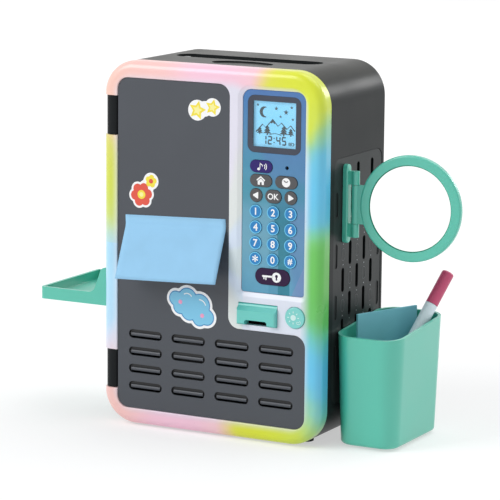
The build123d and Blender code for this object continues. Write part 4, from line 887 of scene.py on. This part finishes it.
puffs = [
    (-14.6, -1.0, 6.2), (-5.8, 4.2, 8.4), (6.0, 4.6, 9.2), (15.4, -0.8, 6.6),
    (0.0, -4.4, 7.4), (-8.8, -5.2, 6.0), (10.2, -5.0, 6.2),
]
sticker("cloud_sticker", -16.5, 101.5, -25.0, grown(puffs, 0.5, 0.0, 2.0), [
    ([grown(puffs, 0.5, 0.0)], film_deep),
    ([grown(puffs, 0.5, 0.0, -0.8)], film_blue),
    ([ring(-10.0, -1.6, 1.7, 24), ring(11.4, -1.6, 1.7, 24)], film_pink),
    ([stroke(arc(-5.6, 3.2, 4.8, 60, 150), 0.8), stroke(arc(6.4, 3.6, 5.6, 40, 120), 0.8)], film_white),
])


# Small screws with a cross recess, its shade painted as a dark flat cross

screw_head = plastic("screw_zinc", rgb(120, 124, 128), 0.3, 0.3, 0.1, 0.05, metallic=0.9)
recess_shade = plastic("screw_recess_shade", rgb(20, 21, 23), 0.6, 0.3, 0.1, 0.05)


def lathe(name, profile, centre, side, body, material, count=24):
    """A turned piece: (radius, height) pairs round an axis that leaves the face at a point of it."""
    verts = []
    for radius, height in profile:
        verts += [Vector((x, y, height)) * MM for x, y in ring(0, 0, radius, count)]
    faces = []
    for k in range(len(profile) - 1):
        for i in range(count):
            j = (i + 1) % count
            faces.append((k * count + i, k * count + j, (k + 1) * count + j, (k + 1) * count + i))
    faces.append(tuple(range(len(verts) - count, len(verts))))
    mesh = bpy.data.meshes.new(name)
    mesh.from_pydata(verts, [], faces)
    mesh.transform(side @ Matrix.Translation(Vector(centre) * MM))
    mesh.materials.append(material)
    for face in mesh.polygons[:-1]:
        face.use_smooth = True
    mesh.update()
    piece = added(name, mesh)
    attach(piece, body)


# shares of a screw's radius and height
SCREW_PROFILE = ((1.0, 0.0), (1.0, 0.4), (0.85, 0.75), (0.5, 0.95), (0.2, 1.0))
CROSS_ARM = 0.62
CROSS_HALF_WIDTH = 0.14
SCREW_HEIGHT = 0.5


def screw(name, x, y, level, side, body, radius, turn):
    head = [(radius * out, SCREW_HEIGHT * up) for out, up in SCREW_PROFILE]
    lathe(name, head, (x, y, level), side, body, screw_head)
    arm, half = radius * CROSS_ARM, radius * CROSS_HALF_WIDTH
    cross = []
    for quarter in range(4):
        cross += moved([(arm, half), (half, half), (half, arm)], x, y, turn + 90 * quarter)
    # painted shade: a dark flat cross on the head stands in for the shadowed recess
    flat(name + "_cross", [cross], body, recess_shade, side, level + SCREW_HEIGHT - 0.04, 0.06)


def screws(name, places, level, side, body, radius=2.4):
    """Each screw of a set stops at a turn of its own."""
    for i, (x, y) in enumerate(places):
        screw(f"{name}_{i}", x, y, level, side, body, radius, 17.0 + 31.0 * i)


BACK_SCREW_X = 80
BACK_SCREW_RISE = 124
COVER_SCREW_INSET = 5.5
HATCH_SCREW_INSET = 4.0
back_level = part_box("back_panel")[1].y / MM
back_heights = [BODY_MIDDLE_Z + rise for rise in (-BACK_SCREW_RISE, 0, BACK_SCREW_RISE)]
back_places = [(x, z) for x in (-BACK_SCREW_X, BACK_SCREW_X) for z in back_heights]
screws("back_screw", back_places, back_level, BACK, "housing")
low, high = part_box("electronics_cover")
cover_edges = (-high.x / MM + COVER_SCREW_INSET, -low.x / MM - COVER_SCREW_INSET)
cover_heights = (low.z / MM + COVER_SCREW_INSET, high.z / MM - COVER_SCREW_INSET)
cover_places = [(x, z) for x in cover_edges for z in cover_heights]
screws("cover_screw", cover_places, high.y / MM - SINK, BACK, "door", 2.2)
low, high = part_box("battery_cover")
hatch_place = (-(low.x + high.x) / 2 / MM, high.z / MM - HATCH_SCREW_INSET)
screws("hatch_screw", [hatch_place], high.y / MM - SINK, BACK, "door", 2.0)


# Mirror: painted shadow, a dark flat ring on the step of the frame round the glass

MIRROR_PIN = Vector((105.5, -16.6, 187.1))
MIRROR_TURN = 3.4
MIRROR_REACH = 45.4
GLASS_LEVEL = 1.8
STEP_OUTER = 33.3
STEP_INNER = 32.65
painted_step_shadow = plastic("painted_step_shadow", rgb(24, 140, 110), 0.5, 0.4, 0.05, 0.02)
MIRROR_SIDE = Matrix.Translation(MIRROR_PIN * MM) @ Matrix.Rotation(radians(MIRROR_TURN), 4, "Z") @ FRONT
step = [ring(MIRROR_REACH, 0, radius, 96) for radius in (STEP_OUTER, STEP_INNER)]
flat("mirror_step_shadow", step, "mirror", painted_step_shadow, MIRROR_SIDE, GLASS_LEVEL - SINK, 0.1)


# Side panels: raised outlines and small dots between the slots, painted pale as highlights on them

PANEL_SIDE_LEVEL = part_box("side_panel_right")[1].x / MM
SLOT_ROWS = 9
SLOT_COLUMNS = 5
SLOT_CENTRE_Y = 8.0
SLOT_PITCH = 12.3
SLOT_TOP = 207.0
SLOT_STEP = 19.9
MARK_WIDTH = 5.6
MARK_HEIGHT = 9.8
MARK_LINE = 0.3
DOT_REACH = 8.0
DOT_RADIUS = 0.5
# painted highlights: the raised outlines and dots are paler than the panel, as where light catches them
ridge_highlight_line = plastic("ridge_highlight_line", rgb(92, 97, 99), 0.34, 0.5, 0.1, 0.03)
dot_highlight = plastic("dot_highlight", rgb(160, 166, 169), 0.3, 0.5, 0.1, 0.03)


def peg_marks(side, name, flip):
    """In the gap between two slots of a column: a small raised pill, with a dot above and below it; both
    painted pale as highlights.
    """
    lines, dots = [], []
    level = PANEL_SIDE_LEVEL - SINK
    for row in range(1, SLOT_ROWS):
        for column in range(SLOT_COLUMNS):
            if (row + column) % 2 == 0:
                continue
            y = (SLOT_CENTRE_Y + (column - SLOT_COLUMNS // 2) * SLOT_PITCH) * flip
            z = SLOT_TOP - SLOT_STEP * row
            lines.append(pill(y, z, MARK_WIDTH, MARK_HEIGHT))
            lines.append(pill(y, z, MARK_WIDTH - 2 * MARK_LINE, MARK_HEIGHT - 2 * MARK_LINE))
            dots += [ring(y, z + up * DOT_REACH, DOT_RADIUS, 12) for up in (-1, 1)]
    flat(name + "_lines", lines, "housing", ridge_highlight_line, side, level, 0.14)
    flat(name + "_dots", dots, "housing", dot_highlight, side, level, 0.2)


peg_marks(RIGHT, "right_marks", 1)
peg_marks(LEFT, "left_marks", -1)


# Sticky note: a thin sheet, flat where it is stuck, then creased forwards and almost straight

NOTE_LEFT = -75.8
NOTE_TOP = 171.0
NOTE_WIDTH = 89.0
NOTE_PAPER = 0.4
NOTE_TILT = radians(2.4)
NOTE_STRIP = 6.0
NOTE_BEND_RADIUS = 12.0
NOTE_LEAN = radians(26.5)
NOTE_FREE = 41.0
NOTE_CUP = 0.4


def note_profile(steps=10):
    """Down the sheet: (outwards, upwards, lean) from the top edge to the free edge."""
    stations = [(0.0, 0.0, 0.0), (0.0, -NOTE_STRIP, 0.0)]
    for i in range(1, steps + 1):
        lean = NOTE_LEAN * i / steps
        out = NOTE_BEND_RADIUS * (1 - cos(lean))
        stations.append((out, -NOTE_STRIP - NOTE_BEND_RADIUS * sin(lean), lean))
    out, up, lean = stations[-1]
    for i in range(1, steps + 1):
        reach = NOTE_FREE * i / steps
        stations.append((out + reach * sin(lean), up - reach * cos(lean), lean))
    return stations


def note_sheet(columns=24):
    level = -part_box("sticky_note")[1].y / MM
    middle = NOTE_LEFT + NOTE_WIDTH / 2
    stations = note_profile()
    verts = []
    for side_of_paper in (0.0, NOTE_PAPER):
        for out, up, lean in stations:
            for column in range(columns + 1):
                across = NOTE_WIDTH * (column / columns - 0.5)
                cup = NOTE_CUP * (2 * across / NOTE_WIDTH) ** 2 * sin(lean) / sin(NOTE_LEAN)
                away = out + (side_of_paper + cup) * cos(lean)
                rise = up + (side_of_paper + cup) * sin(lean)
                x = middle + across * cos(NOTE_TILT) - rise * sin(NOTE_TILT)
                z = NOTE_TOP + across * sin(NOTE_TILT) + rise * cos(NOTE_TILT)
                verts.append(Vector((x, -level - away, z)) * MM)
    wide, layer = columns + 1, len(stations) * (columns + 1)
    faces = []
    for row in range(len(stations) - 1):
        for column in range(columns):
            a = row * wide + column
            faces.append((a, a + 1, a + wide + 1, a + wide))
            faces.append((layer + a, layer + a + wide, layer + a + wide + 1, layer + a + 1))
    flats = len(faces)
    border = list(range(columns)) + [r * wide + columns for r in range(len(stations) - 1)]
    border += [layer - 1 - c for c in range(columns)] + [r * wide for r in range(len(stations) - 1, 0, -1)]
    for a, b in zip(border, border[1:] + border[:1]):
        faces.append((a, layer + a, layer + b, b))
    mesh = bpy.data.meshes.new("note_sheet")
    mesh.from_pydata(verts, [], faces)
    for face in mesh.polygons[:flats]:
        face.use_smooth = True
    mesh.materials.append(materials["note_paper"])
    mesh.update()
    piece = added("note_sheet", mesh)
    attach(piece, "door")
    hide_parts("sticky_note")


note_sheet()


# Stage: a wide pale floor, soft lamps and a bright surround

FLOOR_RADIUS = 4.0  # metres
FLOOR_SIDES = 64
floor_mesh = bpy.data.meshes.new("floor")
rim = [(x, y, 0.0) for x, y in ring(0, 0, FLOOR_RADIUS, FLOOR_SIDES)]
floor_mesh.from_pydata(rim, [], [tuple(range(len(rim)))])
floor = added("floor", floor_mesh)
n = Nodes("floor_white")
n.fix(Base_Color=(0.98, 0.98, 0.98, 1), Roughness=0.9, Specular_IOR_Level=0.0)
# to the camera the floor glows, and more with distance, so that only the shadows near the object show
glow = n.add("Emission", {"Color": (1, 1, 1, 1), "Strength": 1.1})
reach = n.away(n.place()[0], (0, 0, 0))
share = n.span(reach, 0.22, 0.7, 0.48, 1.0, smooth=True)
blend = n.add("MixShader", {0: n.product(n.seen(), share), 1: n.shader.outputs[0], 2: glow.outputs[0]})
n.feed(n.tree.nodes["Material Output"].inputs[0], blend.outputs[0])
floor_mesh.materials.append(n.material)

# the surround is white to the camera and a dimmer light for everything else
world = bpy.data.worlds.new("studio")
bpy.context.scene.world = world
world.use_nodes = True
world.node_tree.nodes.clear()
w = Tree(world.node_tree)
ambient = w.add("Background", {0: (0.96, 0.98, 1.0, 1), 1: 0.42})
bright = w.add("Background", {0: (1, 1, 1, 1), 1: 1.0})
surround = w.add("MixShader", {0: w.seen(), 1: ambient.outputs[0], 2: bright.outputs[0]})
w.add("OutputWorld", {0: surround.outputs[0]})


def lamp(name, place, aim, size, power):
    """A soft rectangular lamp; place, aim and size in metres, power in watts."""
    data = bpy.data.lights.new(name, "AREA")
    data.shape = "RECTANGLE"
    data.size, data.size_y = size
    data.energy = power
    item = added(name, data)
    item.location = place
    item.rotation_euler = (Vector(aim) - Vector(place)).to_track_quat("-Z", "Y").to_euler()


lamp("key", (-1.25, -1.5, 1.45), (0, 0, 0.14), (1.4, 1.4), 29)
lamp("side", (1.8, 0.75, 0.8), (0, 0, 0.14), (1.2, 1.2), 4)
lamp("top", (0.5, 0.5, 1.9), (0, 0, 0.14), (1.6, 1.6), 15)
lamp("rear", (0.76, 1.75, 0.8), (0.09, 0, 0.25), (0.6, 0.4), 5)


# Camera: turned to the right of the front and a little above, with a slight roll; lengths in mm

CAMERA_TURN = radians(27.88)
CAMERA_RISE = radians(10.13)
CAMERA_ROLL = radians(0.534)
CAMERA_REACH = 2068.9
CAMERA_AIM = (34.53, -53.8, 150.83)
CAMERA_LENS = 194.66
CAMERA_SENSOR = 36.0
away = Vector((sin(CAMERA_TURN) * cos(CAMERA_RISE), -cos(CAMERA_TURN) * cos(CAMERA_RISE), sin(CAMERA_RISE)))
level_right = Vector((0, 0, 1)).cross(away).normalized()
level_up = away.cross(level_right)
right = cos(CAMERA_ROLL) * level_right + sin(CAMERA_ROLL) * level_up
up = cos(CAMERA_ROLL) * level_up - sin(CAMERA_ROLL) * level_right
camera_data = bpy.data.cameras.new("camera")
camera_data.lens = CAMERA_LENS
camera_data.sensor_width = CAMERA_SENSOR
camera_data.clip_end = 20.0
camera = added("camera", camera_data)
turned = Matrix((right, up, away)).transposed().to_4x4()
camera.matrix_world = Matrix.Translation((Vector(CAMERA_AIM) + CAMERA_REACH * away) * MM) @ turned
bpy.context.scene.camera = camera
bpy.context.scene.view_settings.view_transform = "Standard"
